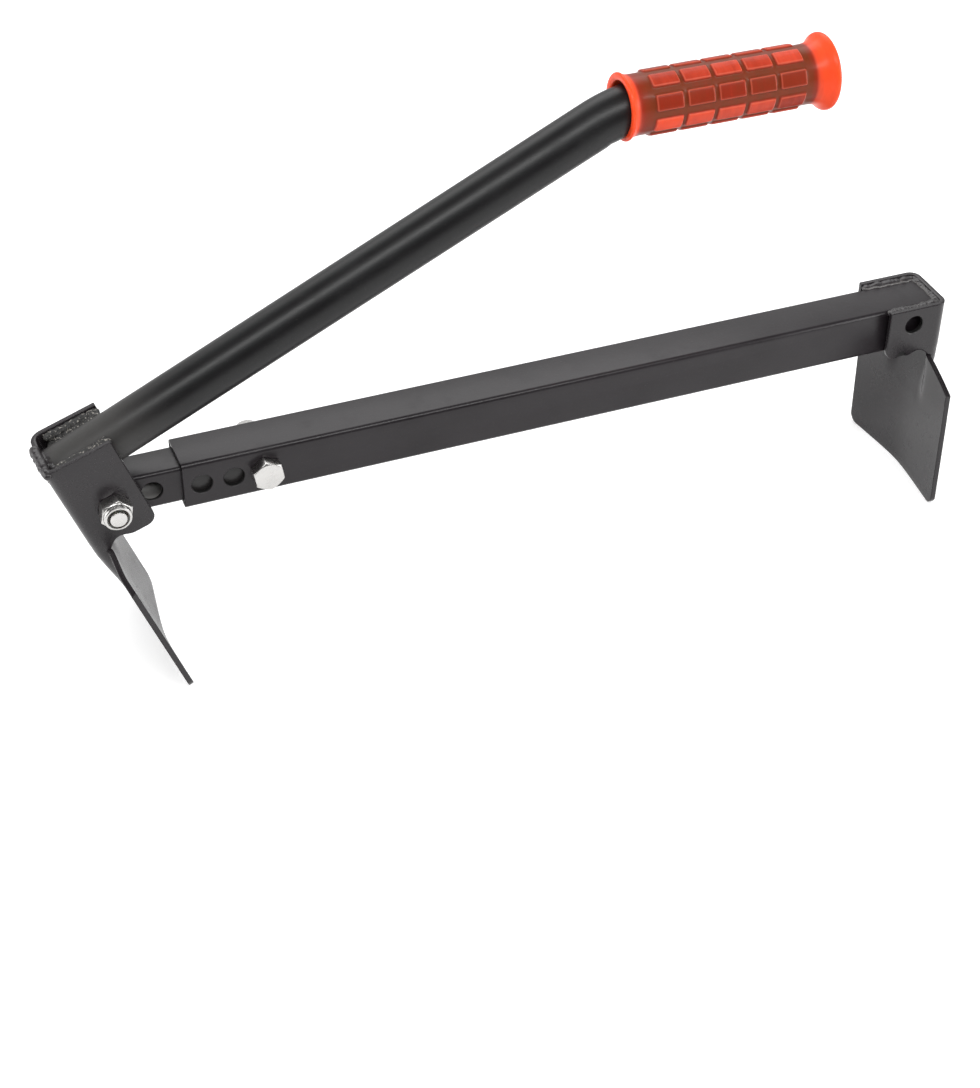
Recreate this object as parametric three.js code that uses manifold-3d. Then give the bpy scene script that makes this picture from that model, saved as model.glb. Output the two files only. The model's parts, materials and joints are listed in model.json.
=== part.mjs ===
// Brick tongs: a telescopic square-tube arm with a fixed jaw welded to one end, and a lifting
// handle whose own jaw swings on a pivot bolt at the other end. Lifting the handle swings the
// moving jaw inwards and grips a row of bricks between the two jaws.
// Millimetres, +Z up, X along the arm, Y across it. The arm is level and both jaws stand on
// the floor, with the moving jaw leaning inwards as it does when the tongs are put down.

import * as THREE from 'three';
import { mergeVertices } from 'three/addons/utils/BufferGeometryUtils.js';
import Module from 'manifold-3d';

const wasm = await Module();
wasm.setup();

// Clearances
const seat_gap = 0.3;
const bore_gap = 0.3;
const hole_gap = 0.5;
const swing_gap = 0.5;
const slide_gap = 0.5;
const cheek_room = 2.5;
const overrun = 5;
const merge_within = 1e-4;

// Arm tubes
const outer_tube_size = 32;
const outer_tube_wall = 3;
const outer_tube_corner = 3;
const inner_tube_size = outer_tube_size - 2 * (outer_tube_wall + slide_gap);
const inner_tube_wall = 2.5;
const inner_tube_corner = 2.5;
const tube_inside_corner = 1;
const inner_tube_reach = 320;
const arm_gap = 44;

// Adjustment holes
const hole_spacing = 20;
const outer_hole_count = 3;
const first_hole_inset = 11.5;
const inner_hole_spacing = 70;
const inner_hole_count = 5;

// Jaws, pressed from flat plate
const jaw_span = 544;
const plate = 3.5;
const channel_width = outer_tube_size + 2 * (cheek_room + plate);
const channel_back = 25;
const channel_front = 18.6;
const channel_bend = 7.5;
const back_half = channel_width / 2 - channel_bend;
const cheek_drop = 24.3;
const cheek_slope = 1.6;
const cheek_corner = 7;
const moving_cheek_rise = 42.8;
const fixed_cheek_cover = 1.6;
const fixed_hole_rise = 5.5;
const blade_width = 113;
const blade_drop = 127.6;
const blade_shoulder = 38.5;
const blade_corner = 7;
const blade_bow = 5.6;
const blade_fold_round = 14;
const moving_blade_set = 3.5;
const fixed_blade_set = 5.6;
const fixed_blade_splay = 2;
const relief_radius = 9;
const throat_drop = 26;
const throat_lip = 1;
const moving_step_top = 14;
const moving_step_foot = 26;
const fixed_step_foot = 28;
const back_lap = 3;
const ear_flat = 1;
const ear_heel = 27;
const ear_tip = 40;
const shoulder_step_share = 0.3;
const trim_notch = 3.4;

// Fasteners
const bolt = 12;
const hex_flats = 18;
const head_height = 7.5;
const nut_height = 12;
const nut_collar = 3;
const collar_diameter = 17.2;
const collar_wall = 1.1;
const insert_depth = 2.4;
const insert_lip = 1;
const bolt_proud = 1;
const bolt_chamfer = 1.2;
const hex_chamfer = 1.1;
const spacer_diameter = 20;

// Handle
const jaw_lean_degrees = 19.5;
const pivot_rise = 2;
const handle_diameter = 30;
const handle_wall = 2.5;
const handle_offset = 28.1;
const handle_run = 381;
const handle_rake_degrees = 6.25;
const handle_bend_degrees = 25.65;
const handle_bend_radius = 90;

// Grip
const grip_length = 136.5;
const grip_lead = 2.5;
const grip_wall = 3.2;
const grip_end_wall = 12;
const mouth_diameter = 42;
const mouth_length = 5;
const cap_diameter = 47.5;
const cap_length = 8.5;
const cap_edge = 3;
const cap_dome = 2;
const cap_dome_share = 0.75;
const cap_flare = 5.5;
const mouth_flare = 7;
const pad_rows = 8;
const pad_count = 5;
const pad_pitch = 20;
const pad_length = 17.6;
const pad_width = 10.6;
const pad_height = 1.5;
const pad_bevel = 0.5;
const pad_turn_degrees = 33;

// Welds
const bead = 3.4;
const foot_bead = 4.6;
const bead_wave = 0.5;
const bead_ripples = 7;
const bead_length = 33;
const bead_sink = 6;
const bead_tilt_degrees = 7;
const bead_taper_share = 0.25;

// How finely the round shapes are cut
const round_steps = 24;
const bend_steps = 8;
const corner_steps = 4;
const blade_columns = 12;
const bead_sides = 10;

const degree = Math.PI / 180;

// Materials
function paint(colour, roughness, metalness = 0) {
  return new THREE.MeshStandardMaterial({ color: colour, roughness, metalness });
}
const grey_paint = () => paint(0x5b5856, 0.5);
const black_paint = () => paint(0x1c1b1d, 0.35);
const zinc = () => paint(0xd8d8d6, 0.3, 0.9);
const nylon = () => paint(0xe6e3da, 0.5);
const soft_grip = () => paint(0xf0502a, 0.4);

// Closed surface through rings of equal point counts, either capped at both ends or,
// for a ring that comes back to its start, joined round
function loft(rings, joined = false) {
  const count = rings[0].length;
  const points = rings.flat().flatMap((p) => [p.x, p.y, p.z]);
  const faces = [];
  const quad = (a, b, c, d) => faces.push(a, b, c, a, c, d);
  const last = joined ? rings.length : rings.length - 1;
  for (let r = 0; r < last; r += 1) {
    const here = r * count;
    const next = ((r + 1) % rings.length) * count;
    for (let i = 0; i < count; i += 1) {
      const j = (i + 1) % count;
      quad(here + i, here + j, next + j, next + i);
    }
  }
  if (!joined) {
    const end = (rings.length - 1) * count;
    for (let i = 0; i < count / 2 - 1; i += 1) {
      const j = count - 1 - i;
      quad(i, j, j - 1, i + 1);
      quad(end + i, end + i + 1, end + j - 1, end + j);
    }
  }
  const geometry = new THREE.BufferGeometry();
  geometry.setAttribute('position', new THREE.Float32BufferAttribute(points, 3));
  geometry.setIndex(faces);
  return geometry;
}

// Boolean solids and back again
function solid(geometry) {
  const bare = geometry.clone();
  bare.deleteAttribute('normal');
  bare.deleteAttribute('uv');
  const merged = mergeVertices(bare, merge_within);
  const vertProperties = new Float32Array(merged.attributes.position.array);
  const triVerts = new Uint32Array(merged.index.array);
  const made = new wasm.Manifold(new wasm.Mesh({ numProp: 3, vertProperties, triVerts }));
  return made.volume() < 0 ? solid(flipped(merged)) : made;
}

function flipped(geometry) {
  const turned = geometry.clone();
  const index = Array.from(geometry.index.array);
  for (let i = 0; i < index.length; i += 3) {
    [index[i], index[i + 1]] = [index[i + 1], index[i]];
  }
  turned.setIndex(index);
  return turned;
}

function piece(name, shape, material) {
  const { vertProperties, triVerts } = shape.getMesh();
  const geometry = new THREE.BufferGeometry();
  geometry.setAttribute('position', new THREE.BufferAttribute(vertProperties, 3));
  geometry.setIndex(new THREE.BufferAttribute(triVerts, 1));
  geometry.computeVertexNormals();
  const mesh = new THREE.Mesh(geometry, material);
  mesh.name = name;
  return mesh;
}

function box(x0, x1, y0, y1, z0, z1) {
  const block = new THREE.BoxGeometry(x1 - x0, y1 - y0, z1 - z0);
  return solid(block.translate((x0 + x1) / 2, (y0 + y1) / 2, (z0 + z1) / 2));
}

// Round bar across the arm, from y0 to y1, at x and z
function cross_bar(diameter, x, z, y0, y1) {
  const bar = new THREE.CylinderGeometry(diameter / 2, diameter / 2, y1 - y0, round_steps);
  return solid(bar.translate(x, (y0 + y1) / 2, z));
}

// Square bar or tube section with rounded corners
function square_outline(size, corner) {
  const half = size / 2;
  const flat = half - corner;
  const outline = new THREE.Shape();
  outline.absarc(flat, flat, corner, 0, 90 * degree);
  outline.absarc(-flat, flat, corner, 90 * degree, 180 * degree);
  outline.absarc(-flat, -flat, corner, 180 * degree, 270 * degree);
  outline.absarc(flat, -flat, corner, 270 * degree, 360 * degree);
  return outline;
}

function square_bar(size, corner, x0, x1) {
  const depth = x1 - x0;
  const settings = { depth, bevelEnabled: false, curveSegments: corner_steps };
  const bar = new THREE.ExtrudeGeometry(square_outline(size, corner), settings);
  bar.rotateX(90 * degree);
  bar.rotateZ(90 * degree);
  return solid(bar.translate(x0, 0, 0));
}

function square_tube(size, wall, corner, x0, x1) {
  const bore = square_bar(size - 2 * wall, tube_inside_corner, x0 - overrun, x1 + overrun);
  return square_bar(size, corner, x0, x1).subtract(bore);
}

// Arm

// How far back a bar of the given width reaches inside the channel, clear of its round bends
function channel_depth(width) {
  const inside = channel_bend - plate;
  const past = Math.max(0, width / 2 + seat_gap - back_half);
  const bulge = inside - Math.sqrt(inside ** 2 - past ** 2);
  const half_facet = (90 / corner_steps / 2) * degree;
  return channel_back - plate - seat_gap - bulge / Math.cos(half_facet);
}

const arm_end = jaw_span + channel_depth(outer_tube_size);
const lock_x = arm_gap + first_hole_inset + (outer_hole_count - 1) * hole_spacing;

function outer_tube() {
  let tube = square_tube(outer_tube_size, outer_tube_wall, outer_tube_corner, arm_gap, arm_end);
  const side = outer_tube_size / 2 + overrun;
  for (let i = 0; i < outer_hole_count; i += 1) {
    const x = lock_x - i * hole_spacing;
    tube = tube.subtract(cross_bar(bolt + 2 * hole_gap, x, 0, -side, side));
  }
  return piece('outer_tube', tube, grey_paint());
}

// The end behind the pivot is rounded on top, so that it turns clear under the handle
function inner_tube() {
  const end_radius = handle_offset - handle_diameter / 2 - swing_gap;
  const side = inner_tube_size / 2 + overrun;
  const above = box(-end_radius - overrun, 0, -side, side, pivot_rise, side);
  const rounding = above.subtract(cross_bar(2 * end_radius, 0, pivot_rise, -side - overrun, side + overrun));
  let tube = square_tube(inner_tube_size, inner_tube_wall, inner_tube_corner, -end_radius, inner_tube_reach);
  tube = tube.subtract(rounding);
  const hole = bolt + 2 * hole_gap;
  tube = tube.subtract(cross_bar(hole, 0, pivot_rise, -side, side));
  const first = lock_x - inner_hole_spacing;
  for (let i = 0; i < inner_hole_count; i += 1) {
    const x = first + i * inner_hole_spacing;
    if (x < inner_tube_reach - hole) tube = tube.subtract(cross_bar(hole, x, 0, -side, side));
  }
  return piece('inner_tube', tube, grey_paint());
}

// Jaws. In a jaw's own frame x points at the other jaw, z is up and the hole is at zero.

// Plan of the pressed channel: two cheeks joined by a back with rounded bends
function channel_plan() {
  const side = channel_width / 2;
  const inside = channel_bend - plate;
  const turn = side - channel_bend;
  const back = -channel_back + channel_bend;
  const plan = new THREE.Shape();
  plan.moveTo(channel_front, side);
  plan.lineTo(back, side);
  plan.absarc(back, turn, channel_bend, 90 * degree, 180 * degree);
  plan.absarc(back, -turn, channel_bend, 180 * degree, 270 * degree);
  plan.lineTo(channel_front, -side);
  plan.lineTo(channel_front, -side + plate);
  plan.absarc(back, -turn, inside, 270 * degree, 180 * degree, true);
  plan.absarc(back, turn, inside, 180 * degree, 90 * degree, true);
  plan.lineTo(channel_front, side - plate);
  return plan;
}

// How far the blade's middle surface bows forwards at a place across it
function bow(y) {
  const fold = (place) => Math.hypot(place, blade_fold_round) - blade_fold_round;
  return (blade_bow * fold(y)) / fold(blade_width / 2);
}

// Side view that trims the channel: square top, round front corner, a relief that sweeps
// down from the lower edge to the shoulder of the blade, and an ear that tapers along the blade
function cheek_outline(rise, shoulder_x) {
  const lower = -cheek_drop + cheek_slope;
  const outline = new THREE.Shape();
  outline.moveTo(-channel_back - overrun, rise);
  outline.lineTo(channel_front + overrun, rise);
  outline.lineTo(channel_front + overrun, -cheek_drop + cheek_corner);
  outline.lineTo(channel_front, -cheek_drop + cheek_corner);
  const turn_x = channel_front - cheek_corner;
  outline.absarc(turn_x, -cheek_drop + cheek_corner, cheek_corner, 0, -90 * degree, true);
  outline.lineTo(shoulder_x + relief_radius, lower);
  outline.absarc(shoulder_x + relief_radius, lower - relief_radius, relief_radius, 90 * degree, 180 * degree);
  outline.lineTo(shoulder_x, -ear_tip);
  outline.lineTo(-channel_back, -ear_heel);
  outline.lineTo(-channel_back - overrun, -ear_heel);
  return outline;
}

// The flat of the back ends behind the blade's step, and its bends reach further down as ears
function channel(rise, shoulder_x, back_drop) {
  const settings = { depth: rise + ear_tip, bevelEnabled: false, curveSegments: corner_steps };
  const pressed = new THREE.ExtrudeGeometry(channel_plan(), settings);
  pressed.translate(0, 0, -ear_tip);
  const depth = channel_width + 2 * overrun;
  const trim = new THREE.ExtrudeGeometry(cheek_outline(rise, shoulder_x), { ...settings, depth });
  trim.rotateX(90 * degree);
  trim.translate(0, depth / 2, 0);
  const open = back_half - ear_flat;
  const inside = -channel_back + plate + overrun;
  const opening = box(-channel_back - overrun, inside, -open, open, -ear_tip - overrun, -back_drop);
  return solid(pressed).intersect(solid(trim)).subtract(opening);
}

// Smooth step from 0 to 1 as a value passes from one level to another
function ease(value, from, to) {
  const t = THREE.MathUtils.clamp((value - from) / (to - from), 0, 1);
  return t * t * (3 - 2 * t);
}

// Blade: a wide plate with a shallow fold down its middle, narrowing through sloping
// shoulders into a neck that steps back into the back of the channel
function blade({ drop, set, splay, step_top, step_foot }) {
  const half = blade_width / 2;
  const levels = new Set([-throat_drop, -throat_drop - throat_lip, -blade_shoulder]);
  for (let i = 0; i <= corner_steps; i += 1) {
    const t = i / corner_steps;
    levels.add(-THREE.MathUtils.lerp(step_top, step_foot, t));
    levels.add(-drop + blade_corner * (1 - Math.sin(t * 90 * degree)));
  }
  levels.add(-(blade_shoulder + drop) / 2);
  const rings = [...levels].sort((a, b) => b - a).map((z) => {
    const flare = THREE.MathUtils.clamp((z + throat_drop) / (throat_drop - blade_shoulder), 0, 1);
    const widening = flare > 0 ? THREE.MathUtils.lerp(shoulder_step_share, 1, flare) : 0;
    const reach = back_half + (half - back_half) * widening;
    const into_corner = Math.max(0, blade_corner - (z + drop));
    const rounding = blade_corner - Math.sqrt(Math.max(0, blade_corner ** 2 - into_corner ** 2));
    const width = reach - rounding;
    const blend = ease(-z, step_top, step_foot);
    const tilt = (splay * (z + blade_shoulder)) / (drop - blade_shoulder);
    const middle = (y) => -channel_back + plate / 2 + blend * (set + bow(y)) + Math.min(0, tilt);
    const row = [];
    for (let i = 0; i <= blade_columns; i += 1) row.push(width * (1 - (2 * i) / blade_columns));
    const face = row.map((y) => new THREE.Vector3(middle(y) + plate / 2, y, z));
    const back = row.map((y) => new THREE.Vector3(middle(y) - plate / 2, y, z)).reverse();
    return [...face, ...back];
  });
  return solid(loft(rings));
}

function jaw(rise, form) {
  const shoulder_x = -channel_back + plate + form.set + bow(channel_width / 2);
  const side = channel_width / 2 + overrun;
  return channel(rise, shoulder_x, form.step_top + back_lap)
    .add(blade(form))
    .subtract(cross_bar(bolt + 2 * hole_gap, 0, 0, -side, side));
}

// Depth of the moving jaw's lowest corner below the pivot, with the jaw leaning in
const lean = jaw_lean_degrees * degree;
const heel = channel_back - moving_blade_set;
const stand = heel * Math.sin(lean) + blade_drop * Math.cos(lean) - pivot_rise;
const fixed_blade_drop = stand + fixed_hole_rise;
const fixed_cheek_rise = outer_tube_size / 2 + fixed_cheek_cover - fixed_hole_rise;
const fixed_step_top = outer_tube_size / 2 + fixed_hole_rise + seat_gap;

function fixed_jaw() {
  const side = channel_width / 2 + overrun;
  const form = {
    drop: fixed_blade_drop,
    set: fixed_blade_set,
    splay: fixed_blade_splay,
    step_top: fixed_step_top,
    step_foot: fixed_step_foot,
  };
  const shape = jaw(fixed_cheek_rise, form)
    .subtract(cross_bar(2 * trim_notch, trim_notch, -cheek_drop, -side, side));
  return piece('fixed_jaw', shape, grey_paint());
}

function moving_jaw() {
  const form = {
    drop: blade_drop,
    set: moving_blade_set,
    splay: 0,
    step_top: moving_step_top,
    step_foot: moving_step_foot,
  };
  return piece('moving_jaw', jaw(moving_cheek_rise, form), grey_paint());
}

// Fasteners, built along +Y from the face that they bear on

function turned(profile) {
  const points = profile.map(([r, y]) => new THREE.Vector2(r, y));
  return solid(new THREE.LatheGeometry(points, round_steps));
}

function hexagon(height) {
  const corner = hex_flats / 2 / Math.cos(30 * degree);
  const prism = new THREE.CylinderGeometry(corner, corner, height, 6);
  return solid(prism.translate(0, height / 2, 0));
}

function hex_bolt(grip) {
  const corner = hex_flats / 2 / Math.cos(30 * degree);
  const crown = [[0, 0], [corner, 0], [corner, head_height - hex_chamfer],
    [hex_flats / 2, head_height], [0, head_height]];
  const head = hexagon(head_height).intersect(turned(crown));
  const r = bolt / 2;
  const shank = [[0, head_height / 2], [r, head_height / 2], [r, bolt_chamfer - grip],
    [r - bolt_chamfer, -grip], [0, -grip]];
  return head.add(turned(shank));
}

function lock_nut_body() {
  const corner = hex_flats / 2 / Math.cos(30 * degree);
  const flat = nut_height - nut_collar;
  const r = bolt / 2 + bore_gap;
  const collar = collar_diameter / 2;
  const pocket = collar - collar_wall;
  const outside = [[0, 0], [corner - hex_chamfer, 0], [corner, hex_chamfer], [corner, flat - hex_chamfer],
    [collar, flat], [collar, nut_height - insert_lip], [collar - insert_lip, nut_height], [0, nut_height]];
  const bore = [[0, -overrun], [r, -overrun], [r, nut_height + overrun], [0, nut_height + overrun]];
  const seat = nut_height - insert_lip - insert_depth - 2 * seat_gap;
  const groove = [[0, seat], [pocket, seat], [pocket, nut_height - insert_lip], [0, nut_height - insert_lip]];
  return hexagon(nut_height).intersect(turned(outside)).subtract(turned(bore)).subtract(turned(groove));
}

function lock_nut_insert() {
  const pocket = collar_diameter / 2 - collar_wall - seat_gap;
  const r = bolt / 2 + bore_gap;
  const low = nut_height - insert_lip - insert_depth - seat_gap;
  const high = low + insert_depth;
  return turned([[r, low], [pocket, low], [pocket, high], [r, high], [r, low]]);
}

function spacer() {
  const length = (channel_width - 2 * plate - inner_tube_size) / 2 - 2 * seat_gap;
  const inside = bolt / 2 + bore_gap;
  const outside = spacer_diameter / 2;
  return turned([[inside, 0], [outside, 0], [outside, length], [inside, length], [inside, 0]]);
}

// Places a piece built along +Y with its bearing face at y, facing outwards
function across(mesh, x, y, z) {
  mesh.position.set(x, y, z);
  if (y < 0) mesh.rotation.x = 180 * degree;
  return mesh;
}

function lock_fasteners() {
  const side = outer_tube_size / 2 + seat_gap;
  const grip = 2 * side + nut_height + bolt_proud;
  return [
    across(piece('lock_bolt', hex_bolt(grip), zinc()), lock_x, -side, 0),
    across(piece('lock_nut', lock_nut_body(), zinc()), lock_x, side, 0),
    across(piece('lock_nut_insert', lock_nut_insert(), nylon()), lock_x, side, 0),
  ];
}

function pivot_fasteners() {
  const side = channel_width / 2 + seat_gap;
  const grip = 2 * side + nut_height + bolt_proud;
  const inner_side = inner_tube_size / 2 + seat_gap;
  return [
    across(piece('pivot_bolt', hex_bolt(grip), zinc()), 0, side, 0),
    across(piece('pivot_nut', lock_nut_body(), zinc()), 0, -side, 0),
    across(piece('pivot_nut_insert', lock_nut_insert(), nylon()), 0, -side, 0),
    across(piece('pivot_spacer_near', spacer(), zinc()), 0, -inner_side, 0),
    across(piece('pivot_spacer_far', spacer(), zinc()), 0, inner_side, 0),
  ];
}

// Handle. In the moving jaw's frame the tube rises at the rake angle, bends and ends level.

const rake = handle_rake_degrees * degree;
const bend = handle_bend_degrees * degree;
const run_dir = new THREE.Vector2(Math.cos(rake), Math.sin(rake));
const run_normal = new THREE.Vector2(-Math.sin(rake), Math.cos(rake));
const grip_dir = new THREE.Vector2(Math.cos(rake - bend), Math.sin(rake - bend));
const bend_corner = run_normal.clone().multiplyScalar(handle_offset).addScaledVector(run_dir, handle_run);
const grip_bore_end = grip_length - grip_end_wall;
const tube_end = grip_bore_end - grip_lead - seat_gap;
const foot_drop = (handle_offset + handle_diameter / 2) * Math.sin(rake);
const handle_foot = -(channel_depth(handle_diameter) - foot_drop) / Math.cos(rake);

// Stations along the handle's centre line, each with its direction, from foot to end
function handle_stations(start, end) {
  const tangent = handle_bend_radius * Math.tan(bend / 2);
  const centre = bend_corner.clone()
    .addScaledVector(run_dir, -tangent)
    .addScaledVector(run_normal, -handle_bend_radius);
  const at = (point, angle) => ({ point, angle });
  const foot = run_normal.clone().multiplyScalar(handle_offset).addScaledVector(run_dir, start);
  const stations = [at(foot, rake)];
  for (let i = 0; i <= bend_steps; i += 1) {
    const angle = rake - (bend * i) / bend_steps;
    const out = new THREE.Vector2(-Math.sin(angle), Math.cos(angle));
    stations.push(at(centre.clone().addScaledVector(out, handle_bend_radius), angle));
  }
  stations.push(at(bend_corner.clone().addScaledVector(grip_dir, end), rake - bend));
  return stations;
}

function tube_rings(stations, radius) {
  return stations.map(({ point, angle }) => {
    const ring = [];
    for (let i = 0; i < round_steps; i += 1) {
      const turn = (i / round_steps) * 360 * degree;
      const up = radius * Math.cos(turn);
      const x = point.x - up * Math.sin(angle);
      ring.push(new THREE.Vector3(x, radius * Math.sin(turn), point.y + up * Math.cos(angle)));
    }
    return ring;
  });
}

function handle_tube() {
  const stations = handle_stations(handle_foot, tube_end);
  const outside = tube_rings(stations, handle_diameter / 2);
  const inside = tube_rings(stations, handle_diameter / 2 - handle_wall).reverse();
  return piece('handle_tube', solid(loft([...outside, ...inside], true)), black_paint());
}

// Grip: a sleeve with a rolled mouth and a flared, crowned cap, and rows of raised pads.
// Its own frame has the mouth at zero and the sleeve along +Y.
const sleeve_r = handle_diameter / 2 + grip_wall;

function grip_outside() {
  const mouth = mouth_diameter / 2;
  const cap = cap_diameter / 2;
  const cap_start = grip_length - cap_length;
  const roll = mouth_length / 2;
  const profile = [[0, 0], [mouth - roll, 0]];
  for (let i = 1; i < corner_steps; i += 1) {
    const turn = (-90 + (i * 180) / corner_steps) * degree;
    profile.push([mouth - roll + roll * Math.cos(turn), roll + roll * Math.sin(turn)]);
  }
  for (let i = 0; i <= corner_steps; i += 1) {
    const t = i / corner_steps;
    const swell = (mouth - roll - sleeve_r) * (1 - t) ** 2;
    profile.push([sleeve_r + swell, mouth_length + t * mouth_flare]);
  }
  for (let i = 0; i <= corner_steps; i += 1) {
    const t = i / corner_steps;
    const swell = (cap - cap_edge - sleeve_r) * t ** 2;
    profile.push([sleeve_r + swell, cap_start - (1 - t) * cap_flare]);
  }
  const rim = cap_length / 2;
  for (let i = 1; i < corner_steps; i += 1) {
    const turn = (-90 + (i * 180) / corner_steps) * degree;
    profile.push([cap - cap_edge + cap_edge * Math.cos(turn), cap_start + rim + rim * Math.sin(turn)]);
  }
  profile.push([cap - cap_edge, grip_length]);
  profile.push([(cap - cap_edge) / 2, grip_length + cap_dome * cap_dome_share]);
  profile.push([0, grip_length + cap_dome]);
  return turned(profile);
}

// One raised pad, its sides drawn in towards the top, sunk a little into the sleeve
function pad(index, row) {
  const middle = (360 / pad_rows) * row * degree;
  const run = (pad_count - 1) * pad_pitch + pad_length;
  const straight = grip_length - cap_length - cap_flare - mouth_length - mouth_flare;
  const start = mouth_length + mouth_flare + (straight - run) / 2 + index * pad_pitch;
  const steps = corner_steps / 2;
  const layer = (radius, draw) => {
    const half = pad_width / 2 / sleeve_r - draw / sleeve_r;
    const edge = (y, direction) => {
      const points = [];
      for (let i = 0; i <= steps; i += 1) {
        const turn = middle + direction * half * ((2 * i) / steps - 1);
        points.push(new THREE.Vector3(radius * Math.sin(turn), y, radius * Math.cos(turn)));
      }
      return points;
    };
    return [...edge(start + draw, 1), ...edge(start + pad_length - draw, -1)];
  };
  const top = sleeve_r + pad_height;
  return solid(loft([layer(sleeve_r - pad_bevel, 0), layer(top - pad_bevel, 0), layer(top, pad_bevel)]));
}

function handle_grip() {
  let grip = grip_outside();
  for (let row = 0; row < pad_rows; row += 1) {
    for (let index = 0; index < pad_count; index += 1) grip = grip.add(pad(index, row));
  }
  const held = grip
    .rotate([0, 90 - pad_turn_degrees, 0])
    .rotate([0, 0, -90])
    .rotate([0, -(rake - bend) / degree, 0])
    .translate([bend_corner.x - grip_lead * grip_dir.x, 0, bend_corner.y - grip_lead * grip_dir.y]);
  const stations = handle_stations(0, grip_bore_end - grip_lead);
  const bore = solid(loft(tube_rings(stations, handle_diameter / 2 + bore_gap)));
  return piece('handle_grip', held.subtract(bore), soft_grip());
}

// Welds. Each bead is a rippled bar that fills the corner between a tube and a cheek.

function ripple(i, steps) {
  return 1 + (bead_wave / bead) * Math.sin((i / steps) * bead_ripples * 180 * degree);
}

function bead_bar(length, wide, high) {
  const steps = 2 * bead_ripples;
  const rings = [];
  for (let i = 0; i <= steps; i += 1) {
    const taper = Math.sin(((i + 1) / (steps + 2)) * 180 * degree) ** bead_taper_share;
    const swell = ripple(i, steps) * taper;
    const ring = [];
    for (let k = 0; k < bead_sides; k += 1) {
      const turn = (k / bead_sides) * 360 * degree;
      ring.push(new THREE.Vector3(
        (i / steps - 1 / 2) * length,
        wide * swell * Math.cos(turn),
        high * swell * Math.sin(turn),
      ));
    }
    rings.push(ring);
  }
  return solid(loft(rings));
}

// The bead itself, without the crumbs that trimming it against its neighbours leaves
function whole(trimmed) {
  return trimmed.decompose().reduce((largest, one) => (one.volume() > largest.volume() ? one : largest));
}

// Space that a cheek and its clearance take up, in the jaw's frame
function cheek_space(side, rise) {
  const outside = channel_width / 2 + seat_gap;
  const inside = channel_width / 2 - plate - seat_gap;
  const [y0, y1] = side < 0 ? [-outside, -inside] : [inside, outside];
  return box(-channel_back, channel_front + overrun, y0, y1, -cheek_drop, rise + seat_gap);
}

function back_space(rise) {
  const half = channel_width / 2;
  const behind = -channel_back - overrun;
  return box(behind, -channel_back + plate + 2 * seat_gap, -half, half, -cheek_drop, rise + seat_gap);
}

function fixed_welds() {
  const gap_middle = (outer_tube_size / 2 + channel_width / 2 - plate) / 2;
  const top = outer_tube_size / 2 - fixed_hole_rise;
  const tube_space = square_bar(outer_tube_size + 2 * seat_gap, outer_tube_corner, -channel_back,
    channel_front + overrun).translate([0, 0, -fixed_hole_rise]);
  const middle_x = channel_front - bead_length / 2 - bead;
  const half = bead_length / 2;
  const run = (side) => {
    const filler = box(middle_x - half + bead, middle_x + half - bead,
      side * gap_middle - bead, side * gap_middle + bead, top - bead_sink, top);
    return bead_bar(bead_length, bead, bead)
      .translate([middle_x, side * gap_middle, top + seat_gap])
      .add(filler)
      .subtract(cheek_space(side, fixed_cheek_rise))
      .subtract(tube_space);
  };
  const across_back = bead_bar(outer_tube_size - 2 * bead, bead, bead)
    .rotate([0, 0, 90])
    .translate([-channel_back + plate - seat_gap, 0, top + seat_gap])
    .subtract(back_space(fixed_cheek_rise))
    .subtract(box(-channel_back, channel_front, -channel_width, channel_width, -cheek_drop, top + seat_gap));
  // The fixed end is turned half round, so the arm's near side is this jaw's +Y
  return [
    piece('fixed_weld_near', whole(run(1)), grey_paint()),
    piece('fixed_weld_far', whole(run(-1)), grey_paint()),
    piece('fixed_weld_end', whole(across_back), grey_paint()),
  ];
}

function handle_welds() {
  const radius = handle_diameter / 2;
  const inside = channel_width / 2 - plate;
  const height = (x) => (handle_offset + x * Math.sin(rake)) / Math.cos(rake);
  const tube_space = solid(loft(tube_rings(handle_stations(handle_foot - overrun, 0), radius + seat_gap)));
  const middle_x = channel_front - bead_length / 2 - bead;
  const run = (side) => {
    const shoulder = radius * Math.cos(45 * degree);
    return bead_bar(bead_length, inside - shoulder, bead)
      .rotate([side * bead_tilt_degrees, 0, 0])
      .rotate([0, -handle_rake_degrees, 0])
      .translate([middle_x, side * (inside + shoulder) / 2, height(middle_x) + shoulder])
      .subtract(cheek_space(side, moving_cheek_rise))
      .subtract(tube_space);
  };
  const across_back = bead_bar(2 * back_half + bead, foot_bead, foot_bead)
    .rotate([0, 0, 90])
    .translate([-channel_back + plate / 2, 0, moving_cheek_rise])
    .subtract(back_space(moving_cheek_rise))
    .subtract(tube_space);
  return [
    piece('handle_weld_near', whole(run(-1)), grey_paint()),
    piece('handle_weld_far', whole(run(1)), grey_paint()),
    piece('handle_weld_end', whole(across_back), grey_paint()),
  ];
}

// Assembly: the arm carries the fixed jaw, turned to face the moving one

const fixed_end = new THREE.Group();
fixed_end.position.set(jaw_span, 0, fixed_hole_rise);
fixed_end.rotation.z = 180 * degree;
fixed_end.add(fixed_jaw(), ...fixed_welds());

const arm = new THREE.Group();
arm.add(outer_tube(), inner_tube(), ...lock_fasteners(), fixed_end);

const lifter = new THREE.Group();
lifter.position.set(0, 0, pivot_rise);
lifter.rotation.y = -lean;
lifter.add(moving_jaw(), handle_tube(), handle_grip(), ...handle_welds(), ...pivot_fasteners());

const tongs = new THREE.Group();
tongs.add(arm, lifter);

// The origin is on the floor, under the middle of the whole
tongs.updateMatrixWorld(true);
const extent = new THREE.Box3().setFromObject(tongs, true);
tongs.position.set(-(extent.min.x + extent.max.x) / 2, -(extent.min.y + extent.max.y) / 2, -extent.min.z);

export default tongs;
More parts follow.
